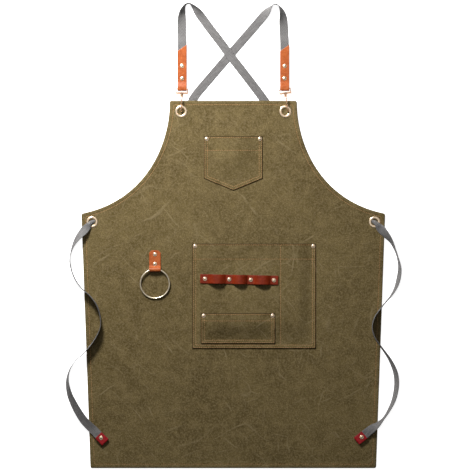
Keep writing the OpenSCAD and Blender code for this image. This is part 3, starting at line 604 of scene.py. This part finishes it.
def rivet_shape(spot, top, bottom):
    """A rapid rivet: post, rolled rim, a shallow groove and a domed cap."""
    profile = [(0.3, bottom), (POST_R, bottom), (POST_R, top), (RIVET_R - 0.15, top)]
    profile += [(RIVET_R, top + 0.18), (RIVET_R - 0.05, top + 0.42), (RIVET_R - 0.35, top + 0.62),
                (RIVET_R - 0.75, top + 0.66), (RIVET_R - 1.05, top + 0.58)]
    for t in (0.0, 0.2, 0.45, 0.7, 0.88):
        r = (RIVET_R - 1.2) * (1 - t)
        profile.append((r, top + 0.6 + (RIVET_H - 0.6) * math.sin(math.pi / 2 * t) ** 0.8))
    profile.append((0.12, top + RIVET_H))
    return lathe(profile, spot, 32)


def make_turned(name, shapes, slot, *nodes):
    """One piece of plated metal from several turned shapes, in place of CAD nodes."""
    points, faces = collect(shapes)
    piece = make_mesh(name, points, faces, ROSE_GOLD)
    sharpen(piece, 50)
    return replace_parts(piece, *nodes)


def make_rivets(name, spots, top, bottom):
    shapes = [rivet_shape(s, top, bottom) for s in spots]
    return make_turned(f"{name}_caps", shapes, "rivet_metal", name)


def grommet_shape(spot, hole, flange):
    """A rolled brass eyelet: barrel, tight inner lip, domed flange and a thin outer edge."""
    low, base = HEM_T - WASHER_T, CANVAS_TOP
    middle, half = (hole + flange) / 2, (flange - hole) / 2
    arc = [(middle - half * math.cos(t), base + 0.1 + (GROMMET_FLANGE_H - 0.1) * math.sin(t))
           for t in np.linspace(0.12, math.pi - 0.12, 13)]
    profile = [(hole + BARREL_T, low), (hole, low), (hole, base)] + arc
    profile += [(flange, base + 0.05), (flange - 0.3, base), (hole + BARREL_T, base)]
    return lathe(profile, spot, 64, closed=True)


def make_grommets(name, g):
    shapes = [grommet_shape((s * g["x"], g["y"]), g["hole"], g["flange"]) for s in (-1, 1)]
    return make_turned(f"{name}_rolled", shapes, "grommet_metal", name)


# ---- Outline of the panel ----

def armhole(t):
    """The concave edge from a waist corner up to the bib's corner."""
    a, b = (WAIST_W / 2, SIDE_H), (BIB_W / 2 + 51, SIDE_H + 30)
    c, d = (BIB_W / 2 - 1.5, PANEL_H - 95), (BIB_W / 2, PANEL_H)
    weights = ((1 - t) ** 3, 3 * (1 - t) ** 2 * t, 3 * (1 - t) * t * t, t ** 3)
    return np.array([sum(w * p[i] for w, p in zip(weights, (a, b, c, d))) for i in (0, 1)])


def outline_sides():
    """The outline as six sides in order, each a list of points from corner to corner."""
    half_bottom, half_waist = BOTTOM_W / 2, WAIST_W / 2
    curve = [armhole(i / 20) for i in range(21)]
    flipped = [np.array([-p[0], p[1]]) for p in reversed(curve)]
    right = [np.array([half_bottom, 0.0]), np.array([half_waist, SIDE_H])]
    left = [np.array([-half_waist, SIDE_H]), np.array([-half_bottom, 0.0])]
    return [right, curve, [curve[-1], flipped[0]], flipped, left, [left[-1], right[0]]]


SIDES = outline_sides()
SIDE_COUNTS = [200, 130, 100, 130, 200, 220]


def inset_ring(distance, rounding=2):
    """The outline moved in by a distance, with the same number of points on each side."""
    corners = np.array([p for side in SIDES for p in side[:-1]])
    n = len(corners)
    moved = []
    for i in range(n):
        before, after = corners[i] - corners[i - 1], corners[(i + 1) % n] - corners[i]
        n1 = unit((-before[1], before[0]))
        n2 = unit((-after[1], after[0]))
        moved.append(corners[i] + distance * (n1 + n2) / (1 + n1 @ n2))
    ring, start = [], 0
    for side, count in zip(SIDES, SIDE_COUNTS):
        points = np.array([moved[(start + j) % n] for j in range(len(side))])
        start += len(side) - 1
        at = np.linspace(0, distances(points)[-1], count, endpoint=False)
        ring += list(resample(points, at))
    ring = np.array(ring)
    starts = np.cumsum([0] + SIDE_COUNTS[:-1])
    for _ in range(rounding):
        soft = ring.copy()
        for s in starts:
            for o in (-1, 0, 1):
                i = (s + o) % len(ring)
                soft[i] = 0.5 * ring[i] + 0.25 * (ring[i - 1] + ring[(i + 1) % len(ring)])
        ring = soft
    return ring


def away_from_box(x, y, x0, x1, y0, y1):
    """Distance outside a rectangle, 0 inside it."""
    return math.hypot(max(x0 - x, 0, x - x1), max(y0 - y, 0, y - y1))


def canvas_sag(x, y):
    """How far the laid panel sinks between the places that hold it up, in millimetres."""
    if not HEM_W < y < PANEL_H - HEM_W:
        return 0.0
    hold = min(smooth(away_from_box(x, y, *box) / reach) for box, reach in SEWN_AREAS)
    for g in (BIB_GROMMETS, WAIST_GROMMETS):
        hold = min(hold, smooth((math.hypot(abs(x) - g["x"], y - g["y"]) - g["flange"]) / 22))
    broad = 0.5 + 0.5 * wobble(x, y, 95, 3.1)
    small = 0.5 + 0.5 * wobble(x + 400, y, 34, 7.7)
    fold = (0.5 + 0.5 * math.sin((0.55 * x + 0.84 * y) / 21 + 2.5 * wobble(x, y, 150, 11.0)))
    fold *= smooth(0.5 + 1.6 * wobble(x, y, 120, 5.4))
    return -hold * (0.55 * broad + 0.22 * small + 0.45 * fold)


def pucker(x, y, strength):
    """Small waves that stitching draws into cloth."""
    return strength * math.sin(2 * math.pi * (x + y) / PUCKER_PERIOD + 2 * wobble(x, y, 30, 1.7))


def notch(x, y):
    """1 where the hem is left out under the bib's top edge, 0 elsewhere."""
    if y < PANEL_H - HEM_W - 2:
        return 0.0
    return max(smooth((x - a) / 2 + 0.5) * smooth((b - x) / 2 + 0.5) for a, b in HEM_NOTCHES)


# The hem's profile from the canvas round the edge to the inner edge below: (inset, height).
TOP_PROFILE = [(14.0, 4.60), (11.6, 4.58), (10.4, 4.50), (9.7, 4.36), (9.2, 4.30), (8.7, 4.36),
               (7.8, 4.56), (5.0, 4.68), (2.6, 4.62), (1.2, 4.34), (0.35, 3.7), (0.0, 2.9)]
UNDER_PROFILE = [(0.0, 1.7), (0.35, 0.9), (1.2, 0.28), (2.6, 0.04), (5.5, 0.0), (8.4, 0.05),
                 (9.2, 0.3), (9.8, 0.45), (10.0, 1.1), (10.1, 3.4)]


def plain_triangles(ring, height, holes, spacing):
    """Fills a ring with triangles round the holes: points, faces, and where ring and holes went."""
    ring_n = len(ring)
    points = [tuple(p) for p in ring]
    edges = [(i, (i + 1) % ring_n) for i in range(ring_n)]
    for at, radius, steps in holes:
        start = len(points)
        for k in range(steps):
            a = 2 * math.pi * k / steps
            points.append((at[0] + radius * math.cos(a), at[1] + radius * math.sin(a)))
        edges += [(start + k, start + (k + 1) % steps) for k in range(steps)]
    fixed = len(points)
    low, high = ring.min(0), ring.max(0)
    rows = int((high[1] - low[1]) / spacing)
    for j in range(rows):
        y = low[1] + (j + 0.5) * spacing
        crossings = sorted(ring[i][0] + (y - ring[i][1]) / (ring[i - 1][1] - ring[i][1])
                           * (ring[i - 1][0] - ring[i][0])
                           for i in range(ring_n) if (ring[i][1] - y) * (ring[i - 1][1] - y) < 0)
        count = int((crossings[-1] - crossings[0]) / spacing)
        for k in range(count):
            x = crossings[0] + (k + 0.5 + 0.25 * (-1) ** j) * spacing
            inside = crossings[0] + 2.5 < x < crossings[-1] - 2.5
            if inside and all(math.hypot(x - c[0], y - c[1]) > r + 2 for c, r, _ in holes):
                points.append((x, y))
    out, _, faces, origin, _, _ = delaunay_2d_cdt(
        [Vector(p) for p in points], edges, [], 2, 1e-6)
    where = {}
    for new, olds in enumerate(origin):
        for old in olds:
            where[old] = new
    co = [(p.x, p.y, height + canvas_sag(p.x, p.y)) for p in out]
    return co, [tuple(f) for f in faces], [where[i] for i in range(fixed)]


def edge_height(x, y, z, inset):
    """Height of a hem point: puckered at the seam, and thin where the hem is notched."""
    if z > HEM_T:
        near_seam = math.exp(-((inset - HEM_STITCH) / 3.0) ** 2)
        return z - 0.06 + pucker(x, y, 0.06) * near_seam
    return z + notch(x, y) * (HEM_T - z)


def make_canvas():
    """The panel: one sheet with its edge turned under, pressed and stitched."""
    profile = TOP_PROFILE + UNDER_PROFILE
    rings = [inset_ring(d) for d, _ in profile]
    n = len(rings[0])
    holes = [((s * g["x"], g["y"]), g["hole"] + BARREL_T + 0.1, 40)
             for g in (BIB_GROMMETS, WAIST_GROMMETS) for s in (-1, 1)]
    top, top_faces, top_at = plain_triangles(rings[0], CANVAS_TOP, holes, 6.5)
    low, low_faces, low_at = plain_triangles(rings[-1], HEM_T, holes, 11.0)
    points = list(top)
    faces = list(top_faces)
    loops = [top_at[:n]]
    for (inset, z), ring in zip(profile[1:-1], rings[1:-1]):
        start = len(points)
        points += [(x, y, edge_height(x, y, z, inset)) for x, y in ring]
        loops.append([start + i for i in range(n)])
    start = len(points)
    points += low
    faces += [tuple(start + i for i in reversed(f)) for f in low_faces]
    loops.append([start + i for i in low_at[:n]])
    for a, b in zip(loops, loops[1:]):
        faces += [(a[i], b[i], b[(i + 1) % n], a[(i + 1) % n]) for i in range(n)]
    first = n
    for _, _, steps in holes:
        for k in range(steps):
            i, j = first + k, first + (k + 1) % steps
            faces.append((top_at[i], top_at[j], start + low_at[j], start + low_at[i]))
        first += steps
    piece = make_mesh("canvas_panel_cloth", points, faces, CANVAS)
    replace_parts(piece, "canvas_panel", "canvas_hem")
    return piece


def polygon_area(points):
    x, y = np.array(points).T
    return 0.5 * abs(np.dot(x, np.roll(y, -1)) - np.dot(y, np.roll(x, -1)))


# ---- Stitching ----



def stitch_row(points, height, closed=False):
    """Thread loops along a line of (x, y) points, lying half sunk at height(x, y)."""
    line = np.array(list(points) + ([points[0]] if closed else []), float)
    length = distances(line)[-1]
    count = max(1, int(length / STITCH_PITCH))
    middles = (np.arange(count) + 0.5) * length / count
    parts = []
    for first, middle, last in zip(*(resample(line, middles + s * STITCH_LENGTH / 2)
                                     for s in (-1, 0, 1))):
        along = unit(last - first)
        side = np.array([-along[1], along[0]])
        loop = []
        for t, width in ((-1.0, 0.25), (-0.82, 0.72), (-0.3, 1.0), (0.3, 1.0), (0.82, 0.72),
                         (1.0, 0.25)):
            at = middle + (last - first) / 2 * t
            z = height(*at) + 0.2 - 0.42 * abs(t) ** 3
            for k in range(6):
                a = math.pi / 3 * k
                across = STITCH_R * width * math.cos(a)
                loop.append((*(at + side * across), z + STITCH_R * width * math.sin(a)))
        parts.append((loop, tube(6, 6)))
    return parts


def make_stitching(name, rows):
    points, faces = collect([part for row in rows for part in row])
    return make_mesh(name, points, faces, THREAD)


def hem_stitches():
    ring = inset_ring(HEM_STITCH)
    height = lambda x, y: 4.24 + pucker(x, y, 0.06)
    return make_stitching("hem_stitching", [stitch_row(list(ring), height, closed=True)])


# ---- Pockets ----

def pocket_bottom(p, x, inset=0.0):
    """Height of the pocket's bottom edge at x, moved in by inset."""
    base = p["top"] - p["h"]
    if not p["tip"]:
        return base + inset
    half = p["w"] / 2
    slope = p["tip"] / half
    return base - p["tip"] * (1 - min(abs(x - p["x"]) / half, 1)) + inset * math.hypot(1, slope)


def pocket_edges(p, x, y):
    """Distances in from the left side, the right side and the bottom edge."""
    half = p["w"] / 2
    slope = p["tip"] / half if p["tip"] else 0.0
    return (x - p["x"] + half, p["x"] + half - x,
            (y - pocket_bottom(p, x)) / math.hypot(1, slope))


def pocket_height(p, x, y):
    """Height of the pocket's outer face above the cloth that it is sewn to."""
    edges = pocket_edges(p, x, y)
    near = max(min(edges), 0.0)
    rise = 1.0
    for d, ramp in zip(edges, p["ramps"]):
        rise *= smooth((d - p["start"]) / ramp)
    margin = min(near / 1.4, 1.0)
    z = CANVAS_T * math.sqrt(max(1 - (1 - margin) ** 2, 0.0)) + p["depth"] * rise
    below = p["top"] - y
    z += rise * (-0.22 * (0.5 + 0.5 * wobble(x, y, 42, p["w"]))
                 - 0.10 * (0.5 + 0.5 * wobble(x, y, 15, p["h"])))
    z += 0.3 * smooth((p["mouth_hem"] + 1.5 - below) / 2.2) * min(near / 3, 1) * rise
    z += 0.7 * smooth(near / 0.9) * smooth((8.0 - near) / 2.5) * smooth((below - 12) / 8)
    z -= 0.4 * math.exp(-((below - p["mouth_hem"]) / 1.3) ** 2) * rise
    for seam in SEAM_LINES:
        z -= 0.2 * math.exp(-((near - seam) / 1.0) ** 2)
    z += pucker(x, y, 0.05) * math.exp(-((near - 5.5) / 4.0) ** 2)
    return z


def chest_cloth(x, y):
    return CANVAS_TOP + pocket_height(CHEST, x, y)


def tool_cloth(x, y):
    """The tool pocket's face: the divider seam draws a shallow channel into it."""
    channel = 0.9 * math.exp(-((x - DIVIDER_X) / 2.6) ** 2)
    return CANVAS_TOP + pocket_height(TOOL, x, y) - channel * smooth((y - 280) / 12)


def small_cloth(x, y):
    return tool_cloth(x, y) + pocket_height(SMALL, x, y)


def panel_face(x, y):
    return CANVAS_TOP


def make_pocket(name, p, cloth, under, step):
    """A pocket's front: stitched flat round three sides, soft and open at the mouth."""
    nx, ny = round(p["w"] / step), round((p["h"] + p["tip"]) / step)
    us = np.linspace(-1, 1, nx + 1)
    vs = np.linspace(0, 1, ny + 1)
    edge_steps = (0.35, 1.0)
    us = np.sort(np.concatenate([us, [s * (1 - 2 * e / p["w"]) for e in edge_steps for s in (-1, 1)]]))
    vs = np.sort(np.concatenate([vs, [e / p["h"] for e in edge_steps], [1 - 0.5 / p["h"]]]))
    columns, rows = len(us), len(vs)
    outer, inner = [], []
    for v in vs:
        for u in us:
            x = p["x"] + u * p["w"] / 2
            low = pocket_bottom(p, x)
            y = low + v * (p["top"] - low)
            z = cloth(x, y)
            floor = under(x, y)
            doubled = 0.9 * smooth((p["mouth_hem"] - (p["top"] - y)) / 2)
            outer.append((x, y, max(z, floor + 0.02)))
            inner.append((x, y, max(z - CANVAS_T - doubled, floor + 0.01)))
    n = columns * rows
    lip = []
    for i in range(columns):
        a, b = outer[(rows - 1) * columns + i], inner[(rows - 1) * columns + i]
        lip.append((a[0], a[1] + 0.7, (a[2] + b[2]) / 2))
    points = outer + inner + lip
    faces = []
    for j in range(rows - 1):
        for i in range(columns - 1):
            a = j * columns + i
            faces.append((a, a + 1, a + columns + 1, a + columns))
            faces.append((n + a, n + a + columns, n + a + columns + 1, n + a + 1))
    last = (rows - 1) * columns
    for i in range(columns - 1):
        faces.append((i, n + i, n + i + 1, i + 1))
        faces.append((last + i, last + i + 1, 2 * n + i + 1, 2 * n + i))
        faces.append((2 * n + i, 2 * n + i + 1, n + last + i + 1, n + last + i))
    for j in range(rows - 1):
        a, b = j * columns, (j + 1) * columns
        faces.append((a, b, n + b, n + a))
        a, b = a + columns - 1, b + columns - 1
        faces.append((a, n + a, n + b, b))
    faces.append((last, 2 * n, n + last))
    faces.append((last + columns - 1, n + last + columns - 1, 2 * n + columns - 1))
    # These edge values are painted shade: dark within about 2 mm of the sides, bottom and mouth, and
    # fully dark on the mouth's lip.
    edge = [smooth(2.0 - min(*pocket_edges(p, x, y), p["top"] - y)) for x, y, _ in outer]
    edge += [0.0] * n + [1.0] * columns
    piece = make_mesh(f"{name}_cloth", points, faces, CANVAS, edge=edge)
    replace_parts(piece, name)
    return piece


def pocket_stitches(name, p, cloth):
    """Two rows round the sewn sides and one under the turned mouth."""
    rows = []
    for inset in SEAM_LINES:
        half = p["w"] / 2 - inset
        left, right = p["x"] - half, p["x"] + half
        bottom = [(left, pocket_bottom(p, left, inset))]
        if p["tip"]:
            bottom.append((p["x"], pocket_bottom(p, p["x"], inset)))
        bottom.append((right, pocket_bottom(p, right, inset)))
        line = [(left, p["top"] - 1.5)] + bottom + [(right, p["top"] - 1.5)]
        for a, b in zip(line, line[1:]):
            rows.append(stitch_row([a, b], cloth))
    y = p["top"] - p["mouth_hem"]
    half = p["w"] / 2 - 3
    mouth = [(x, y) for x in np.linspace(p["x"] - half, p["x"] + half, 60)]
    rows.append(stitch_row(mouth, cloth))
    rows.append(stitch_row([(x, p["top"] - 2.2) for x, _ in mouth], cloth))
    if p is TOOL:
        rows.append(stitch_row([(DIVIDER_X, p["top"] - 2), (DIVIDER_X, p["top"] - p["h"] + 10)],
                               cloth))
    return make_stitching(name, rows)


def pocket_corners(p):
    half = p["w"] / 2 - RIVET_IN
    return [(p["x"] - half, p["top"] - RIVET_DOWN), (p["x"] + half, p["top"] - RIVET_DOWN)]


# ---- Leather ----

def bent_path(corners, step, passes):
    """A path through (a, b) corners, resampled evenly and eased round its bends."""
    line = np.array(corners, float)
    length = distances(line)[-1]
    path = resample(line, np.linspace(0, length, max(3, round(length / step) + 1)))
    for _ in range(passes):
        path[1:-1] = 0.5 * path[1:-1] + 0.25 * (path[:-2] + path[2:])
    return path


def arc(centre, radius, start, stop, steps=14):
    """Points on an arc in a side view, with angles in degrees."""
    return [(centre[0] + radius * math.cos(math.radians(a)),
             centre[1] + radius * math.sin(math.radians(a)))
            for a in np.linspace(start, stop, steps)]


def make_tab(side, x):
    """A shoulder tab: a strip folded round the loop's bar and closed over the webbing."""
    radius = TAB_FOLD_R + TAB_T / 2
    rear, front = TAB_REAR_Z + TAB_T / 2, TAB_FRONT_Z + TAB_T / 2
    path = bent_path([(TAB_TOP, rear), (TAB_SLOPE[1], rear), (TAB_SLOPE[0], HOOK_Z - radius)]
                     + arc((TAB_FOLD_Y, HOOK_Z), radius, 270, 90)
                     + [(TAB_SLOPE[0], HOOK_Z + radius), (TAB_SLOPE[1], front), (TAB_TOP, front)],
                     step=1.0, passes=2)
    centres = [(x, y, z) for y, z in path]

    def slant(points):
        ramp = np.clip((points[:, 1] - SLANT_FROM) / (TAB_TOP - SLANT_FROM), 0, 1.05)
        points[:, 1] += (points[:, 0] - x) / (TAB_W / 2) * TAB_SLANT * ramp
        return points

    tab = band(f"{side}_shoulder_tab_leather", centres, (1, 0, 0), TAB_W / 2,
               TAB_T / 2 - 0.02, TAN, corner=0.5, count=13, crown=0.06,
               shape=slant)
    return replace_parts(tab, f"{side}_shoulder_tab")


def make_towel_loop():
    """The towel loop: a strip folded round the ring, its two layers riveted together."""
    radius = TOWEL_INNER_R + TOWEL_T / 2
    rear = CANVAS_TOP + TOWEL_T / 2
    front = rear + TOWEL_T + 0.05
    lay = TOWEL_RIVETS_Y[0] - 5
    path = bent_path([(TOWEL_TOP, rear), (TOWEL_AXIS_Y, rear)]
                     + arc((TOWEL_AXIS_Y, TOWEL_AXIS_Z), radius, 270, 90)
                     + [(TOWEL_AXIS_Y + TOWEL_KNEE[0], TOWEL_AXIS_Z + TOWEL_KNEE[1]),
                        (lay, front), (TOWEL_TOP, front)], step=0.9, passes=2)
    taper = 6.0
    half = [TOWEL_W / 2 - 5.2 * max(0.0, 1 - (TOWEL_TOP - y) / taper) ** 1.3 for y, _ in path]
    loop = band("towel_loop_leather", [(TOWEL_X, y, z) for y, z in path],
                (1, 0, 0), half, TOWEL_T / 2 - 0.02, TAN,
                corner=0.45, count=13, crown=0.06)
    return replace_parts(loop, "towel_loop")


def strap_path():
    """Side view of the tool strap: flat under each rivet and arched between them."""
    mid = STRAP_T / 2
    corners = [(STRAP_ENDS[0], mid)]
    for x0, x1 in zip(STRAP_RIVETS, STRAP_RIVETS[1:]):
        half = (x1 - x0) / 2 - STRAP_PAD
        r = (half * half + LOOP_H * LOOP_H) / (2 * LOOP_H)
        open_angle = math.degrees(math.asin(half / r))
        corners += arc(((x0 + x1) / 2, LOOP_H - r + mid), r, 90 + open_angle,
                       90 - open_angle, 24)
    return bent_path(corners + [(STRAP_ENDS[1], mid)], 1.3, 3)


def on_strap(x):
    """A point on the strap's middle line, turned by the strap's tilt about its middle."""
    middle = sum(STRAP_ENDS) / 2
    return (middle + (x - middle) * math.cos(STRAP_TILT),
            STRAP_Y + (x - middle) * math.sin(STRAP_TILT))


def make_tool_strap():
    path = strap_path()
    centres = [(*on_strap(x), TOOL_FRONT + z) for x, z in path]
    across = (math.sin(STRAP_TILT), -math.cos(STRAP_TILT), 0)
    strap = band("tool_strap_leather", centres, across, STRAP_W / 2, STRAP_T / 2 - 0.02,
                 STRAP_LEATHER, corner=0.6, count=13, crown=0.05)
    for v in strap.data.vertices:
        v.co.z = max(v.co.z, (TOOL_FRONT - 0.12) * MM)
    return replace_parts(strap, "tool_strap")


def make_tie_end(side, at):
    """A leather end folded over the webbing."""
    rear, front = TIE_REAR_Z + TIE_T / 2, TIE_FRONT_Z + TIE_T / 2
    radius = (front - rear) / 2
    fold = TIE_L / 2 - TIE_T / 2 - radius
    path = bent_path([(-TIE_L / 2 + 0.4, rear)] + arc((fold, (rear + front) / 2), radius, -90, 90)
                     + [(-TIE_L / 2 + 0.4, front)], 0.8, 1)
    turn = math.radians(at[2])
    c, s = math.cos(turn), math.sin(turn)
    centres = [(at[0] + u * c, at[1] + u * s, z) for u, z in path]
    end = band(f"{side}_tie_end_leather", centres, (s, -c, 0),
               [TIE_W / 2 - 0.3 * (u < -10.5) for u, _ in path], TIE_T / 2 - 0.02, RED,
               corner=0.5, count=11, crown=0.08)
    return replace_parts(end, f"{side}_tie_end")


def make_tie_rivet(side, at):
    """The rivet through a tie end, with its rear cap."""
    turn = math.radians(at[2])
    spot = (at[0] + TIE_RIVET_IN * math.cos(turn), at[1] + TIE_RIVET_IN * math.sin(turn))
    low = TIE_REAR_Z - TIE_BACK_H
    rear = [(BACK_R - 0.2, low), (BACK_R, low + 0.2), (BACK_R, TIE_REAR_Z), (POST_R, TIE_REAR_Z),
            (POST_R, low)]
    shapes = [rivet_shape(spot, TIE_FRONT_Z + TIE_T, low), lathe(rear, spot, 32, closed=True)]
    return make_turned(f"{side}_tie_end_rivet", shapes, "rivet_metal",
                       "tie_end_rivets", "tie_end_rivet_backs")


# ---- Metal ----

def make_ring():
    """The towel ring: bent wire whose welded joint shows as a slight swelling."""
    around, steps = 144, 18
    c, s = math.cos(RING_TILT), math.sin(RING_TILT)
    points = []
    for i in range(around):
        a = 2 * math.pi * i / around
        weld = 1 + 0.06 * math.exp(-((a - math.radians(255)) / 0.035) ** 2)
        for k in range(steps):
            b = 2 * math.pi * k / steps
            r = RING_R + RING_WIRE * weld * math.cos(b)
            x, y, z = r * math.cos(a), r * math.sin(a) - RING_DROP, RING_WIRE * weld * math.sin(b)
            points.append((TOWEL_X + x, TOWEL_AXIS_Y + y * c - z * s, TOWEL_AXIS_Z + y * s + z * c))
    faces = tube(around, steps, closed=True, flip=True)
    ring = make_mesh("towel_ring_wire", points, faces, PALE_NICKEL, "towel_ring")
    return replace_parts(ring, "towel_ring")


def finish_cad_metal():
    """CAD hardware whose shape is right keeps its mesh and gets a worked metal."""
    kept = {"rivet_backs": (ROSE_GOLD, "rivet_metal"), "washers": (ROSE_GOLD, "grommet_metal"),
            "strap_loop": (COPPER, "hook_metal"), "hook": (COPPER, "hook_metal"),
            "gate": (COPPER, "hook_metal"), "gate_pin": (SPRING_STEEL, "spring_steel"),
            "gate_spring": (SPRING_STEEL, "spring_steel")}
    for name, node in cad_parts.items():
        for ending, (metal, slot) in kept.items():
            if name.endswith(ending):
                node.data.materials.clear()
                node.data.materials.append(metal)
                node.data.shade_smooth()
                sharpen(node, 35)


# ---- Build ----

straps = {side: make_strap(side, route)
          for side, route in (("left", LEFT_ROUTE), ("right", RIGHT_ROUTE))}
tie_ends = {"left": make_tie_end("left", LEFT_TIE), "right": make_tie_end("right", RIGHT_TIE)}

canvas = make_canvas()
panel_area = polygon_area(inset_ring(0.0, 0))
panel_edge = np.linalg.norm(np.diff(inset_ring(0.0, 0), axis=0), axis=1).sum()
hem_stitches()

for name, p, cloth, under, step in (("chest_pocket", CHEST, chest_cloth, panel_face, 2.6),
                                    ("tool_pocket", TOOL, tool_cloth, panel_face, 2.8),
                                    ("small_pocket", SMALL, small_cloth, tool_cloth, 2.2)):
    make_pocket(name, p, cloth, under, step)
    pocket_stitches(f"{name}_stitching", p, cloth)

make_tab("left", -TAB_X)
make_tab("right", TAB_X)
make_towel_loop()
make_tool_strap()
make_ring()

make_grommets("bib_grommets", BIB_GROMMETS)
make_grommets("waist_grommets", WAIST_GROMMETS)
panel_rear, tool_rear = HEM_T - BACK_H, TOOL_FRONT - CANVAS_T - BACK_H
make_rivets("chest_pocket_rivets", pocket_corners(CHEST), CANVAS_TOP + CANVAS_T, panel_rear)
make_rivets("tool_pocket_rivets", pocket_corners(TOOL), CANVAS_TOP + CANVAS_T, panel_rear)
make_rivets("small_pocket_rivets", pocket_corners(SMALL), TOOL_FRONT + CANVAS_T, tool_rear)
make_rivets("tool_strap_rivets", [on_strap(x) for x in STRAP_RIVETS],
            TOOL_FRONT + STRAP_T, tool_rear)
make_rivets("towel_loop_rivets", [(TOWEL_X, y) for y in TOWEL_RIVETS_Y],
            CANVAS_TOP + 2 * TOWEL_T + 0.05, panel_rear)
make_rivets("shoulder_tab_rivets", [(x, y) for x in (-TAB_X, TAB_X) for y in TAB_RIVETS_Y],
            TAB_FRONT_Z + TAB_T, TAB_REAR_Z - BACK_H)
tie_rivets = {"left": make_tie_rivet("left", LEFT_TIE),
              "right": make_tie_rivet("right", RIGHT_TIE)}
finish_cad_metal()

for side, (strap, path) in straps.items():
    x = -TAB_X if side == "left" else TAB_X
    frame_points([(x, *WEB_EXIT)])[0]
